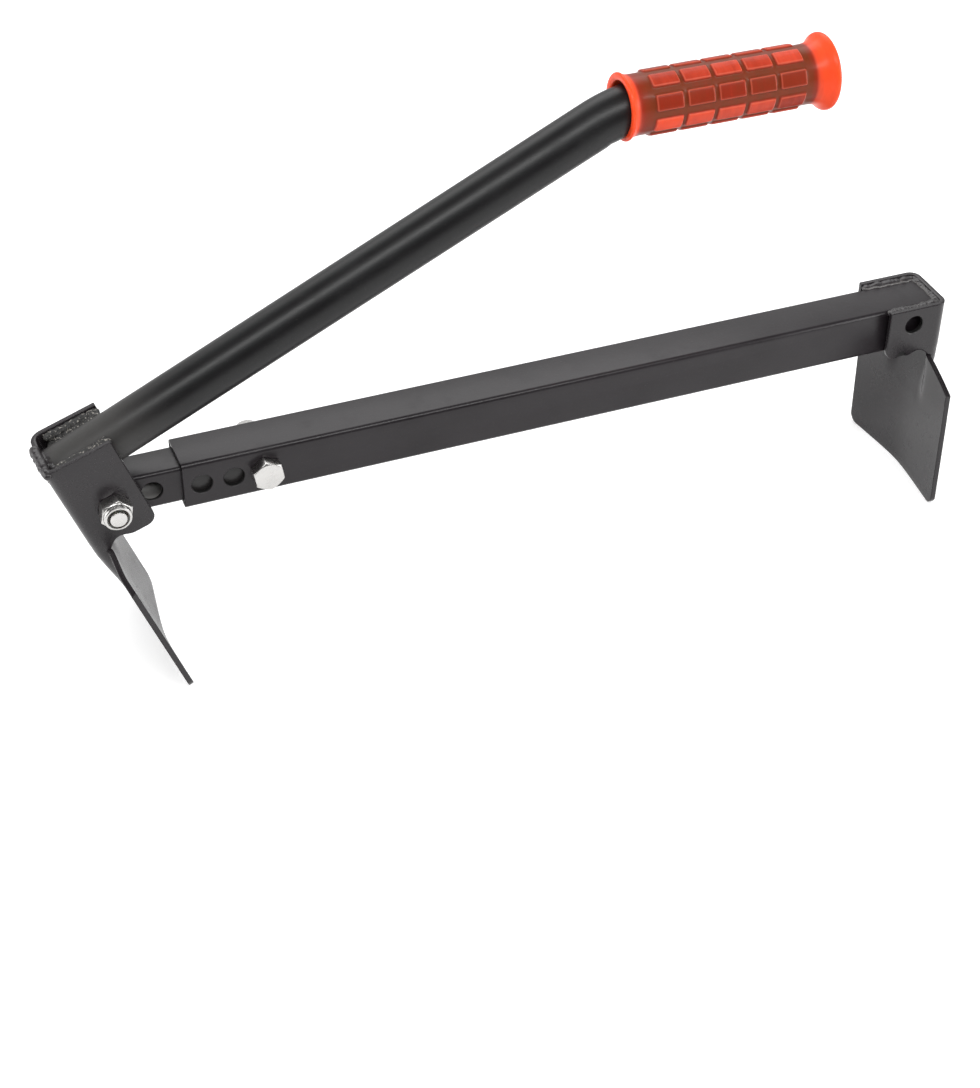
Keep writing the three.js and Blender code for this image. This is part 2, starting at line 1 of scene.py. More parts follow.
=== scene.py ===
"""Brick tongs: a square-tube arm, two pressed jaws and a bent lifting handle with a soft vinyl grip."""
import json
import math
import random

import bmesh
import bpy
from mathutils import Matrix, Vector, noise


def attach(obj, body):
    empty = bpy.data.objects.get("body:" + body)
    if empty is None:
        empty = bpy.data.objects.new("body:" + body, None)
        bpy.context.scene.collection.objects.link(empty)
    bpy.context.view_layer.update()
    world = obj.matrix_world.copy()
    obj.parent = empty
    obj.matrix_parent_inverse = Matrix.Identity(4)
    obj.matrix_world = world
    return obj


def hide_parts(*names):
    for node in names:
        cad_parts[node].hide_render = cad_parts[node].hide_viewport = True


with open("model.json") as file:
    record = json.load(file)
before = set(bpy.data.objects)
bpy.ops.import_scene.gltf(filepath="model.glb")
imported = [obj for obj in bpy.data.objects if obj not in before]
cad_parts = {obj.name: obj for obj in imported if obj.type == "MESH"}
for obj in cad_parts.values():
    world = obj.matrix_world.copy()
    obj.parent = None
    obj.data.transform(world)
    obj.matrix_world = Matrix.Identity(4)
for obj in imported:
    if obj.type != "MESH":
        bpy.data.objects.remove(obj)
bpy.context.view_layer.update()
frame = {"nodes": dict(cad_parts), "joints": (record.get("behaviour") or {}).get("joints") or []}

MM = 0.001

# Camera, placed from the pivot as the photograph was taken
IMAGE_HEIGHT = 1088
FOCAL_PIXELS = 2082.8
SENSOR = 36.0
CAMERA_FROM_PIVOT = Vector((-157.744, -1009.7, 755.476)) * MM
CAMERA_AZIMUTH = 21.957
CAMERA_ELEVATION = 38.667
CAMERA_ROLL = 0.61
CAMERA_REACH = 20

# Sizes of the CAD model, in millimetres; the blades stay a hair inside it
PIVOT_RISE = 2
LEAN = 19.5
JAW_SPAN = 544
FIXED_HOLE_RISE = 5.5
PLATE = 3.5
CHANNEL_HALF = 22
CHANNEL_BACK = 25
CHANNEL_FRONT = 18.6
BEND = 7.5
MOVING_RISE = 42.8
FIXED_RISE = 12.1
BLADE_HALF = 56.3
BLADE_CORNER = 7
BLADE_BOW = 5.6
FOLD_ROUND = 14
SHOULDER = 38.5
MOVING_DROP = 127.6
MOVING_SET = 3.5
FIXED_DROP = 130.9
FIXED_SET = 5.6
FIXED_SPLAY = 2
OUTER_TUBE = 32
OUTER_WALL = 3
OUTER_CORNER = 3
OUTER_START = 44
OUTER_END = 564.76
INNER_TUBE = 25
INNER_WALL = 2.5
INNER_START = -12.6
INNER_END = 320
HOLE = 13
LOCK_X = 95.5
OUTER_HOLES = (55.5, 75.5)
INNER_HOLES = (25.5, 165.5, 235.5, 305.5)
HANDLE = 30
HANDLE_WALL = 2.5
HANDLE_OFFSET = 28.1
HANDLE_RUN = 381
HANDLE_FOOT = -16.3
RAKE = 6.25
HANDLE_BEND = 25.65
BEND_RADIUS = 90
GRIP_LENGTH = 136.5
GRIP_LEAD = 2.5
GRIP_WALL = 3.2
HEX_FLATS = 18
BOLT = 12
FIT = 0.3

PIVOT = Vector(frame["joints"][0]["pos_m"])
TO_METRES = Matrix.Scale(MM, 4)
ARM = Matrix.Translation(PIVOT - Vector((0, 0, PIVOT_RISE * MM))) @ TO_METRES
LIFTER = Matrix.Translation(PIVOT) @ Matrix.Rotation(-math.radians(LEAN), 4, "Y") @ TO_METRES
FIXED_END = ARM @ Matrix.Translation((JAW_SPAN, 0, FIXED_HOLE_RISE)) @ Matrix.Rotation(math.pi, 4, "Z")


# Materials

def join(tree, value, slot):
    """Puts a number, colour or link into a socket"""
    if isinstance(value, Shade):
        tree.links.new(value.socket, slot)
    else:
        slot.default_value = value


class Shade:
    """A socket that adds its Math nodes when it is used in an expression"""

    def __init__(self, tree, socket):
        self.tree = tree
        self.socket = socket

    def calculate(self, operation, first, second):
        node = self.tree.nodes.new("ShaderNodeMath")
        node.operation = operation
        join(self.tree, first, node.inputs[0])
        join(self.tree, second, node.inputs[1])
        return Shade(self.tree, node.outputs[0])

    def __add__(self, other):
        return self.calculate("ADD", self, other)

    __radd__ = __add__

    def __sub__(self, other):
        return self.calculate("SUBTRACT", self, other)

    def __rsub__(self, other):
        return self.calculate("SUBTRACT", other, self)

    def __mul__(self, other):
        return self.calculate("MULTIPLY", self, other)

    __rmul__ = __mul__

class Pattern:
    """A node tree to draw patterns in, and the coordinates that they lie on"""

    def __init__(self, tree, coordinates):
        self.tree = tree
        self.place = self.node("ShaderNodeTexCoord", output=coordinates)

    def node(self, kind, settings=None, values=None, output=0):
        node = self.tree.nodes.new(kind)
        for name, setting in (settings or {}).items():
            if name == "stops":
                ramp = node.color_ramp
                for index, (position, colour) in enumerate(setting):
                    stop = ramp.elements[index] if index < 2 else ramp.elements.new(position)
                    stop.position = position
                    stop.color = colour
            else:
                setattr(node, name, setting)
        for name, value in (values or {}).items():
            join(self.tree, value, node.inputs[name])
        return Shade(self.tree, node.outputs[output])

    def grain(self, scale, detail=2.0, roughness=0.5, vector=None):
        values = {"Vector": vector or self.place, "Scale": scale, "Detail": detail, "Roughness": roughness}
        return self.node("ShaderNodeTexNoise", values=values)

    def stretched(self, sizes):
        """Object coordinates drawn out, so that a pattern runs along the piece"""
        return self.node("ShaderNodeMapping", values={"Vector": self.place, "Scale": sizes})

    def between(self, value, low, high):
        """0 below low, 1 above high and a smooth step in between"""
        settings = {"interpolation_type": "SMOOTHSTEP"}
        return self.node("ShaderNodeMapRange", settings, {"Value": value, "From Min": low, "From Max": high})

    def blend(self, share, first, second):
        settings = {"data_type": "RGBA"}
        return self.node("ShaderNodeMix", settings, {0: share, 6: first, 7: second}, output=2)

    def bump(self, height, distance, strength=1.0):
        values = {"Height": height, "Distance": distance, "Strength": strength}
        return self.node("ShaderNodeBump", values=values)

    def attribute(self, name):
        return self.node("ShaderNodeAttribute", {"attribute_name": name}, output="Fac")

    def rays(self):
        """1 on camera rays, on glossy rays and on transmission rays"""
        names = ("Is Camera Ray", "Is Glossy Ray", "Is Transmission Ray")
        return [self.node("ShaderNodeLightPath", output=name) for name in names]


class Finish(Pattern):
    """A material for one finish of the tongs, with the sockets that stay the same all over"""

    def __init__(self, name, **constants):
        self.material = bpy.data.materials.new(name)
        self.material.use_nodes = True
        super().__init__(self.material.node_tree, "Object")
        self.shader = self.tree.nodes["Principled BSDF"]
        for socket, value in constants.items():
            self.shader.inputs[self.label(socket)].default_value = value

    def label(self, socket):
        return socket.replace("_", " ").title().replace("Ior", "IOR")

    def set(self, **inputs):
        for socket, value in inputs.items():
            join(self.tree, value, self.shader.inputs[self.label(socket)])
        return self.material


# Tones, from dark to light where there are two; the vinyl's from where it is thin to where it is thick
ARM_TONES = ((0.0095, 0.0072, 0.0088, 1), (0.0155, 0.0127, 0.0147, 1))
JAW_TONES = ((0.0105, 0.0083, 0.0099, 1), (0.0168, 0.0142, 0.0161, 1))
HANDLE_TONES = ((0.0042, 0.0040, 0.0044, 1), (0.0075, 0.0074, 0.0078, 1))
FLAT_WELD_TONES = ((0.015, 0.0125, 0.0140, 1), (0.026, 0.0230, 0.0250, 1))
# Pale steel: bare steel lightened as painted light inside the inner tube, and the painted highlight on weld
# rims
STEEL_PAINTED_LIGHT_TONES = ((0.10, 0.097, 0.094, 1), (0.30, 0.29, 0.28, 1))
WELD_TONES = ((0.002, 0.0019, 0.0019, 1), (0.034, 0.033, 0.032, 1))
ZINC_TONES = ((0.53, 0.52, 0.505, 1), (0.67, 0.66, 0.645, 1))
# Nylon darkened as painted shade under the nut's collar
NYLON_PAINTED_SHADE_TONES = ((0.16, 0.155, 0.145, 1), (0.26, 0.255, 0.24, 1))
WELD_SMOKE = (0.038, 0.0365, 0.035, 1)
# Painted light for the inner tube where it lies inside the outer tube
SLEEVE_PAINTED_LIGHT_COAT = (0.020, 0.0185, 0.0185, 1)
DUST_SPECK = (0.32, 0.31, 0.29, 1)
# Painted shade in bores, in the centre-punch mark and inside the outer tube
BORE_PAINTED_SHADE = (0.004, 0.0038, 0.0036, 1)
WELD_GRAIN = (0.34, 0.32, 0.29, 1)
# Painted highlight on the rims of the grip's pads
PAD_RIM_HIGHLIGHT = (0.66, 0.13, 0.075, 1)
VINYL_STOPS = (
    (0.0, (0.150, 0.030, 0.009, 1)),
    (0.35, (0.25, 0.020, 0.007, 1)),
    (0.65, (0.55, 0.055, 0.024, 1)),
    (1.0, (0.88, 0.072, 0.018, 1)),
)


def powder_coat(name, tones, roughness, specular, peel, dust=0.05):
    """Powder coat: cloudy in tone, orange-peel skin, a few specks of dust. Mesh attributes change it: painted
    shade in bores and inside the outer tube, bare steel lightened with painted light inside the inner tube,
    painted light where the inner tube lies inside the outer one, painted highlights where weld beads run out,
    dusted by weld smoke."""
    finish = Finish(name, specular_ior_level=specular)
    bore, pale_painted_light, sleeve_painted_light, dusted = (finish.attribute(mask) for mask in ("bore", "pale_painted_light", "sleeve_painted_light", "dusted"))
    clouds = finish.grain(18, detail=3)
    smudges = finish.between(finish.grain(60, detail=4, roughness=0.65), 0.5, 0.75)
    skin = finish.grain(520, detail=2, roughness=0.4)
    fine = finish.grain(2400, detail=1)
    specks = finish.between(finish.grain(1500, detail=0), 0.74, 0.8)
    soot = dusted * finish.grain(700, detail=4, roughness=0.7)
    tone = finish.blend(finish.between(clouds, 0.3, 0.7), *tones)
    tone = finish.blend(dusted, tone, WELD_SMOKE)
    # Painted light on the inner tube inside the outer tube
    tone = finish.blend(sleeve_painted_light, tone, SLEEVE_PAINTED_LIGHT_COAT)
    tone = finish.blend(specks * dust, tone, DUST_SPECK)
    # Bare steel lightened as painted light inside the inner tube, and painted highlights where weld beads run
    # out
    tone = finish.blend(pale_painted_light, tone, finish.blend(clouds, *STEEL_PAINTED_LIGHT_TONES))
    # Painted shade in bores and inside the outer tube
    tone = finish.blend(bore, tone, BORE_PAINTED_SHADE)
    grit = 0.10 * (clouds - 0.5) + 0.07 * smudges + 0.05 * specks + 0.35 * bore + 0.25 * pale_painted_light + 0.2 * soot
    return finish.set(
        base_color=tone,
        roughness=roughness + grit,
        normal=finish.bump(skin + 0.25 * fine + 0.4 * specks + 1.5 * soot, peel),
    )


def weld_coat(name):
    """Powder coat over a rough bead, gritty and dusted with pale grains"""
    finish = Finish(name, specular_ior_level=0.4)
    grit = finish.grain(900, detail=4, roughness=0.7)
    lumps = finish.grain(260, detail=3)
    grains = finish.between(finish.grain(750, detail=1), 0.58, 0.68)
    tone = finish.blend(grains * 0.7, finish.blend(lumps, *WELD_TONES), WELD_GRAIN)
    return finish.set(
        base_color=tone,
        roughness=0.38 + 0.25 * grit,
        normal=finish.bump(grit + 1.5 * lumps, 0.00035),
    )


def zinc_plate(name):
    """Bright zinc plate with a faint cloudy bloom and fine handling marks"""
    finish = Finish(name, metallic=1.0)
    along = finish.stretched((1, 1, 7))
    bloom = finish.grain(140, detail=4, roughness=0.6)
    marks = finish.grain(700, detail=3, roughness=0.6, vector=along)
    return finish.set(
        base_color=finish.blend(bloom, *ZINC_TONES),
        roughness=0.16 + 0.16 * bloom + 0.08 * marks,
        normal=finish.bump(marks + bloom, 0.00004),
    )


def nylon_ring(name):
    """Cloudy nylon, darkened as painted shade under the nut's collar"""
    finish = Finish(name, specular_ior_level=0.4, subsurface_weight=0.15, subsurface_scale=0.001)
    cloud = finish.grain(400, detail=3)
    return finish.set(
        base_color=finish.blend(cloud, *NYLON_PAINTED_SHADE_TONES),
        roughness=0.42 + 0.1 * cloud,
        normal=finish.bump(cloud, 0.00004),
    )


def vinyl(name):
    """Soft translucent vinyl: deep and brown where the tube shows through, bright where it is thick"""
    finish = Finish(name, specular_ior_level=0.17, coat_weight=0.04, coat_roughness=0.06,
                    subsurface_weight=0.15, subsurface_scale=0.002, subsurface_radius=(1.0, 0.2, 0.08))
    body = finish.attribute("body")
    rim_highlight = finish.attribute("rim_highlight")
    along = finish.stretched((1, 0.2, 0.2))
    cloud = finish.grain(45, detail=3)
    streaks = finish.grain(260, detail=3, roughness=0.6, vector=along)
    ripple = finish.grain(150, detail=2)
    depth = body + 0.10 * (cloud - 0.5) + 0.30 * (streaks - 0.5)
    tone = finish.node("ShaderNodeValToRGB", {"stops": VINYL_STOPS}, {"Fac": depth})
    return finish.set(
        # Painted highlight along the pads' rims
        base_color=finish.blend(rim_highlight * 0.5, tone, PAD_RIM_HIGHLIGHT),
        roughness=0.26 + 0.12 * cloud,
        normal=finish.bump(ripple + 0.3 * streaks, 0.00012),
    )


ARM_PAINT = powder_coat("arm_powder_coat", ARM_TONES, 0.30, specular=0.35, peel=0.00004)
JAW_PAINT = powder_coat("jaw_powder_coat", JAW_TONES, 0.26, specular=0.45, peel=0.00004)
HANDLE_PAINT = powder_coat("handle_powder_coat", HANDLE_TONES, 0.36, specular=0.36, peel=0.00003, dust=0.03)
FLAT_WELD_PAINT = powder_coat("flat_weld_powder_coat", FLAT_WELD_TONES, 0.27, specular=0.5, peel=0.00008)
WELD_PAINT = weld_coat("weld_powder_coat")
ZINC = zinc_plate("zinc_plate")
NYLON = nylon_ring("nylon")
VINYL = vinyl("grip_vinyl")


# Shaping helpers

# How near counts as on a face, how far a cutter stands past a wall, and how much a hole's edge is eased
TOUCH = 0.1
PAST = 6
EASED = 0.45


def solid_from(name, bm):
    """Mesh object from a bmesh, in millimetres until it is placed"""
    bmesh.ops.recalc_face_normals(bm, faces=bm.faces)
    mesh = bpy.data.meshes.new(name)
    bm.to_mesh(mesh)
    bm.free()
    piece = bpy.data.objects.new(name, mesh)
    bpy.context.scene.collection.objects.link(piece)
    return piece


def modify(piece, kind, **settings):
    modifier = piece.modifiers.new(kind.lower(), kind)
    for name, value in settings.items():
        setattr(modifier, name, value)
    return modifier


def settle(piece):
    """Makes the modifiers' result the piece's own mesh"""
    bpy.context.view_layer.update()
    evaluated = piece.evaluated_get(bpy.context.evaluated_depsgraph_get())
    mesh = bpy.data.meshes.new_from_object(evaluated)
    piece.modifiers.clear()
    old = piece.data
    piece.data = mesh
    bpy.data.meshes.remove(old)
    return piece


def discard(piece):
    mesh = piece.data
    bpy.data.objects.remove(piece)
    bpy.data.meshes.remove(mesh)


def cut(piece, *tools, operation="DIFFERENCE", crossing=False):
    """Boolean of a piece with cutting tools, which are used up"""
    for tool in tools:
        modify(piece, "BOOLEAN", object=tool, operation=operation, solver="EXACT", use_self=crossing)
    settle(piece)
    for tool in tools:
        discard(tool)
    return piece


def soften(piece, width, segments=2, angle=40):
    """Rounds the edges that turn by more than the angle"""
    modify(piece, "BEVEL", width=width, segments=segments, limit_method="ANGLE",
           angle_limit=math.radians(angle), harden_normals=False, use_clamp_overlap=False)
    return settle(piece)


def shade(piece, angle=35):
    piece.data.shade_smooth()
    piece.data.set_sharp_from_angle(angle=math.radians(angle))
    return piece


def place(piece, matrix, material, body, slot, *nodes):
    """Puts a finished piece where it belongs, with its finish, its body and the nodes that it stands for"""
    piece.data.transform(matrix)
    piece.data.materials.clear()
    piece.data.materials.append(material)
    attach(piece, body)
    if nodes:
        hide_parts(*nodes)
    return piece


def mark(piece, name, chosen):
    """Writes 1 to a mesh attribute where chosen(place) holds, and 0 elsewhere"""
    attribute = piece.data.attributes.get(name) or piece.data.attributes.new(name, "FLOAT", "POINT")
    for vert, value in zip(piece.data.vertices, attribute.data):
        value.value = max(value.value, float(chosen(vert.co)))
    return piece


# Marks a hole's wall for painted shade
def mark_bore_shade(piece, x, z, radius):
    return mark(piece, "bore", lambda co: math.hypot(co.x - x, co.z - z) < radius + TOUCH)


def turned(name, profile, steps=64):
    """Closed body of revolution about the Y axis through (radius, y) points"""
    bm = bmesh.new()
    points = [bm.verts.new((radius, y, 0)) for radius, y in profile]
    edges = [bm.edges.new(pair) for pair in zip(points, points[1:])]
    bmesh.ops.spin(bm, geom=points + edges, cent=(0, 0, 0), axis=(0, 1, 0), angle=2 * math.pi, steps=steps,
                   use_merge=True)
    bmesh.ops.remove_doubles(bm, verts=bm.verts, dist=1e-4)
    return solid_from(name, bm)


def wall_faces(half, wall):
    """Where the faces of two walls lie across the arm, from one side to the other"""
    return [-half, -half + wall, half - wall, half]


def drill(x, z, radius, faces):
    """Cutter for a hole across the arm, eased where it passes each face of a wall"""
    wide = radius + EASED
    profile = [(0, faces[0] - PAST), (wide, faces[0] - PAST)]
    for index, y in enumerate(faces):
        if index % 2 == 0:
            profile += [(wide, y), (radius, y + EASED)]
        else:
            profile += [(radius, y - EASED), (wide, y)]
    profile += [(wide, faces[-1] + PAST), (0, faces[-1] + PAST)]
    tool = turned("drill", profile, steps=48)
    tool.data.transform(Matrix.Translation((x, 0, z)))
    return tool


# Arm

# Rounding of a tube's cut end, half the width of the fade at the edge of the painted light inside the outer
# tube, and the block that rounds the end
TUBE_EDGE = 0.4
SLEEVE_LIGHT_FADE = 0.6
WASTE = Vector((20, 40, 20))


def square_tube(name, size, wall, corner, start, end):
    """Tube along X with round corners and softly cut ends"""
    bm = bmesh.new()
    bmesh.ops.create_cube(bm, size=1)
    bmesh.ops.scale(bm, vec=(end - start, size, size), verts=bm.verts)
    bmesh.ops.translate(bm, vec=((start + end) / 2, 0, 0), verts=bm.verts)
    ends = [f for f in bm.faces if abs(f.normal.x) > 0.5]
    long_edges = [e for e in bm.edges if abs(e.verts[0].co.x - e.verts[1].co.x) > 1]
    bmesh.ops.delete(bm, geom=ends, context="FACES_ONLY")
    bmesh.ops.bevel(bm, geom=long_edges, affect="EDGES", offset=corner, segments=6, profile=0.5, material=-1)
    tube = solid_from(name, bm)
    modify(tube, "SOLIDIFY", thickness=wall, offset=-1, use_even_offset=True)
    settle(tube)
    return soften(tube, TUBE_EDGE, angle=60)


def add_outer_tube():
    tube = square_tube("outer_tube_drilled", OUTER_TUBE, OUTER_WALL, OUTER_CORNER, OUTER_START, OUTER_END)
    faces = wall_faces(OUTER_TUBE / 2, OUTER_WALL)
    cut(tube, *[drill(x, 0, HOLE / 2, faces) for x in (*OUTER_HOLES, LOCK_X)])
    for x in OUTER_HOLES:
        mark_bore_shade(tube, x, 0, HOLE / 2)
    inside = OUTER_TUBE / 2 - OUTER_WALL + TOUCH
    # Painted shade inside the outer tube
    mark(tube, "bore", lambda co: abs(co.y) < inside and abs(co.z) < inside)
    place(shade(tube), ARM, ARM_PAINT, "arm", "arm_paint", "outer_tube")


def add_inner_tube():
    tube = square_tube("inner_tube_drilled", INNER_TUBE, INNER_WALL, INNER_WALL, INNER_START, INNER_END)
    faces = wall_faces(INNER_TUBE / 2, INNER_WALL)
    bm = bmesh.new()
    bmesh.ops.create_cube(bm, size=1)
    bmesh.ops.scale(bm, vec=WASTE, verts=bm.verts)
    bmesh.ops.translate(bm, vec=(-WASTE.x / 2, 0, PIVOT_RISE + WASTE.z / 2), verts=bm.verts)
    waste = solid_from("waste", bm)
    radius, reach = -INNER_START, 1.5 * WASTE.y / 2
    keep = turned("keep", [(0, -reach), (radius, -reach), (radius, reach), (0, reach)], steps=96)
    keep.data.transform(Matrix.Translation((0, 0, PIVOT_RISE)))
    cut(waste, keep)
    cut(tube, waste, crossing=True)
    pivot_drill = drill(0, PIVOT_RISE, HOLE / 2, faces)
    cut(tube, pivot_drill, *[drill(x, 0, HOLE / 2, faces) for x in (*INNER_HOLES, LOCK_X)])
    for x in INNER_HOLES:
        mark_bore_shade(tube, x, 0, HOLE / 2)
    inside = INNER_TUBE / 2 - INNER_WALL + TOUCH
    # Bare steel, lightened as painted light, inside the inner tube
    mark(tube, "pale_painted_light", lambda co: abs(co.y) < inside and abs(co.z) < inside)
    bm = bmesh.new()
    bm.from_mesh(tube.data)
    for x in (OUTER_START - SLEEVE_LIGHT_FADE, OUTER_START + SLEEVE_LIGHT_FADE):
        everything = [*bm.verts, *bm.edges, *bm.faces]
        bmesh.ops.bisect_plane(bm, geom=everything, plane_co=(x, 0, 0), plane_no=(1, 0, 0))
    bm.to_mesh(tube.data)
    bm.free()
    # Painted light where the inner tube lies inside the outer tube
    mark(tube, "sleeve_painted_light", lambda co: co.x > OUTER_START)
    place(shade(tube), ARM, ARM_PAINT, "arm", "arm_paint", "inner_tube")


# Jaws

FLAT_HALF = CHANNEL_HALF - BEND
MIDDLE_BEND = BEND - PLATE / 2
ARC = MIDDLE_BEND * math.pi / 2
MIDDLE_BACK = -CHANNEL_BACK + PLATE / 2
STRIP_HALF = FLAT_HALF + ARC + CHANNEL_FRONT - (MIDDLE_BACK + MIDDLE_BEND)
CHEEK_START = 1.7
TIP = FLAT_HALF + ARC + CHEEK_START
# The cut between channel and blade, how far under the pivot the bends have flattened out, and how far out
# from a bend the blade takes to come back to its fold
THROAT = -27.5
FADE_END = 70
FLARE_RUN = 26
# Edges of the cut: over it a round relief, then an ear that comes down again; under it the blade's shoulder
RELIEF_RISE = 6.2
RELIEF_WIDTH = 4.6
RELIEF_CURVE = 1.8
EAR_DROP = 2.9
EAR_RUN = (9, 19)
SHOULDER_CURVE = 1.1
# Parts of the sheet that the press has stretched smooth, from the throat and from the middle
STRAINED_SIDE = (10, 31)
STRAIN_DOWN = 12
STRAIN_UP_BACK = 5
STRAIN_UP_CHEEK = -0.5
BEND_FRONT = -15.5
STRAIN_ROUNDS = 6
RIDGE_SIDE = 14
RIDGE_DOWN = (6, 45)
RIDGE_ROUNDS = 12
PLATE_EDGE = 0.5
JAW_SHARP = 44
# Centre-punch mark on the fixed jaw's cheek
PUNCH_X = 6.2
PUNCH_Z = -23.2
PUNCH_RADIUS = 3.3
PUNCH_DEPTH = 1.5
PUNCH_RIM_DEPTH = 1.2
# Rows and columns of the sheet, and how much its rows crowd towards the throat
LOWER_ROWS = 44
LOWER_CROWDING = 0.8
UPPER_ROWS = 26
UPPER_CROWDING = 1.3
INNER_COLUMNS = 20
STRAIGHT_COLUMNS = 22
CORNER_COLUMNS = 6
COLUMNS = INNER_COLUMNS + STRAIGHT_COLUMNS + CORNER_COLUMNS


def step(value, start, end):
    """Smooth step from 0 to 1 between two levels"""
    t = min(1, max(0, (value - start) / (end - start)))
    return t * t * (3 - 2 * t)


def fold(y):
    return math.hypot(y, FOLD_ROUND) - FOLD_ROUND


def bow(y):
    """How far the blade has come forward at a distance from its fold"""
    return BLADE_BOW * fold(y) / fold(BLADE_HALF)


def strip_place(column):
    """Distance from the middle of the flat strip, for a column counted from the middle"""
    count = abs(column)
    if count <= INNER_COLUMNS:
        across = TIP * count / INNER_COLUMNS
    elif count <= INNER_COLUMNS + STRAIGHT_COLUMNS:
        share = (count - INNER_COLUMNS) / STRAIGHT_COLUMNS
        across = TIP + (STRIP_HALF - BLADE_CORNER - TIP) * share
    else:
        turn = (count - INNER_COLUMNS - STRAIGHT_COLUMNS) / CORNER_COLUMNS * math.pi / 2
        across = STRIP_HALF - BLADE_CORNER + BLADE_CORNER * math.sin(turn)
    return math.copysign(across, column)


def corner_lift(across):
    """Rise of the blade's lower edge in its round corner"""
    into = max(0, abs(across) - (STRIP_HALF - BLADE_CORNER))
    return BLADE_CORNER - math.sqrt(max(0, BLADE_CORNER ** 2 - into ** 2))


def channel_place(across):
    """Middle of the plate in the channel: flat back, round bend, straight cheek"""
    side = abs(across)
    if side <= FLAT_HALF:
        x, y = MIDDLE_BACK, side
    elif side <= FLAT_HALF + ARC:
        turn = (side - FLAT_HALF) / MIDDLE_BEND
        x = MIDDLE_BACK + MIDDLE_BEND * (1 - math.cos(turn))
        y = FLAT_HALF + MIDDLE_BEND * math.sin(turn)
    else:
        x = MIDDLE_BACK + MIDDLE_BEND + side - FLAT_HALF - ARC
        y = CHANNEL_HALF - PLATE / 2
    return x, math.copysign(y, across)


def blade_place(across, z, drop, set_in, splay):
    """Middle of the plate in the blade; under the throat the channel's bends flatten out"""
    lean_out = splay * min(0, z + SHOULDER) / (drop - SHOULDER)
    flat_y = across * BLADE_HALF / STRIP_HALF
    flat_x = MIDDLE_BACK + set_in + bow(flat_y) + lean_out
    side = abs(across)
    if side <= TIP:
        x, y = channel_place(side)
    else:
        tip_x, tip_y = channel_place(TIP)
        y = tip_y + (side - TIP) * (BLADE_HALF - tip_y) / (STRIP_HALF - TIP)
        ahead = tip_x - MIDDLE_BACK - set_in - bow(tip_y)
        x = MIDDLE_BACK + set_in + bow(y) + ahead * (1 - step(y - tip_y, 0, FLARE_RUN))
    fade = step(-z, -THROAT, FADE_END)
    return x + (flat_x - x) * fade, math.copysign(y + (abs(flat_y) - y) * fade, across)


def jaw_sheet(name, rise, drop, set_in, splay):
    """Middle of one pressed plate: the blade below the throat and the channel above, joined in the bends"""
    bm = bmesh.new()
    lower = bmesh.ops.create_grid(bm, x_segments=2 * COLUMNS, y_segments=LOWER_ROWS, size=1)["verts"]
    upper = bmesh.ops.create_grid(bm, x_segments=2 * COLUMNS, y_segments=UPPER_ROWS, size=1)["verts"]
    for vert in lower:
        across = strip_place(round(vert.co.x * COLUMNS))
        share = ((vert.co.y + 1) / 2) ** LOWER_CROWDING
        out = max(0, abs(across) - TIP)
        top = THROAT - (SHOULDER + THROAT) * (out / (STRIP_HALF - TIP)) ** SHOULDER_CURVE
        bottom = -drop + corner_lift(across)
        z = bottom + (top - bottom) * share
        x, y = blade_place(across, z, drop, set_in, splay)
        vert.co = (x, y, z)
    for vert in upper:
        across = strip_place(round(vert.co.x * COLUMNS))
        share = ((vert.co.y + 1) / 2) ** UPPER_CROWDING
        out = max(0, abs(across) - TIP)
        lift = corner_lift(across) if across else 0
        relief = RELIEF_RISE * (1 - math.exp(-(out / RELIEF_WIDTH) ** RELIEF_CURVE))
        bottom = THROAT + relief - EAR_DROP * step(out, *EAR_RUN) + lift
        z = bottom + (rise - bottom) * share
        x, y = channel_place(across)
        vert.co = (x, y, z)
    bmesh.ops.remove_doubles(bm, verts=bm.verts, dist=0.02)
    strained, ridge = [], []
    for vert in bm.verts:
        side, height = abs(vert.co.y), vert.co.z
        if vert.is_boundary or not STRAINED_SIDE[0] < side < STRAINED_SIDE[1]:
            continue
        strain_up = STRAIN_UP_BACK if vert.co.x < BEND_FRONT else STRAIN_UP_CHEEK
        if THROAT - STRAIN_DOWN < height < THROAT + strain_up:
            strained.append(vert)
        if THROAT - RIDGE_DOWN[1] < height < THROAT - RIDGE_DOWN[0] and side > RIDGE_SIDE:
            ridge.append(vert)
    for verts in STRAIN_ROUNDS * [strained] + RIDGE_ROUNDS * [ridge]:
        bmesh.ops.smooth_vert(bm, verts=verts, factor=0.5, use_axis_x=True, use_axis_y=True, use_axis_z=False)
    return solid_from(name, bm)


def thicken(sheet):
    """Plate around the sheet, half on each side, with its edges broken"""
    modify(sheet, "SOLIDIFY", thickness=PLATE, offset=0, use_even_offset=False, use_quality_normals=True)
    settle(sheet)
    return soften(sheet, PLATE_EDGE, segments=3, angle=50)


def add_moving_jaw():
    jaw = thicken(jaw_sheet("moving_jaw_pressing", MOVING_RISE, MOVING_DROP, MOVING_SET, 0))
    cut(jaw, drill(0, 0, HOLE / 2, wall_faces(CHANNEL_HALF, PLATE)))
    mark_bore_shade(jaw, 0, 0, HOLE / 2)
    place(shade(jaw, JAW_SHARP), LIFTER, JAW_PAINT, "lifting_handle", "jaw_paint", "moving_jaw")


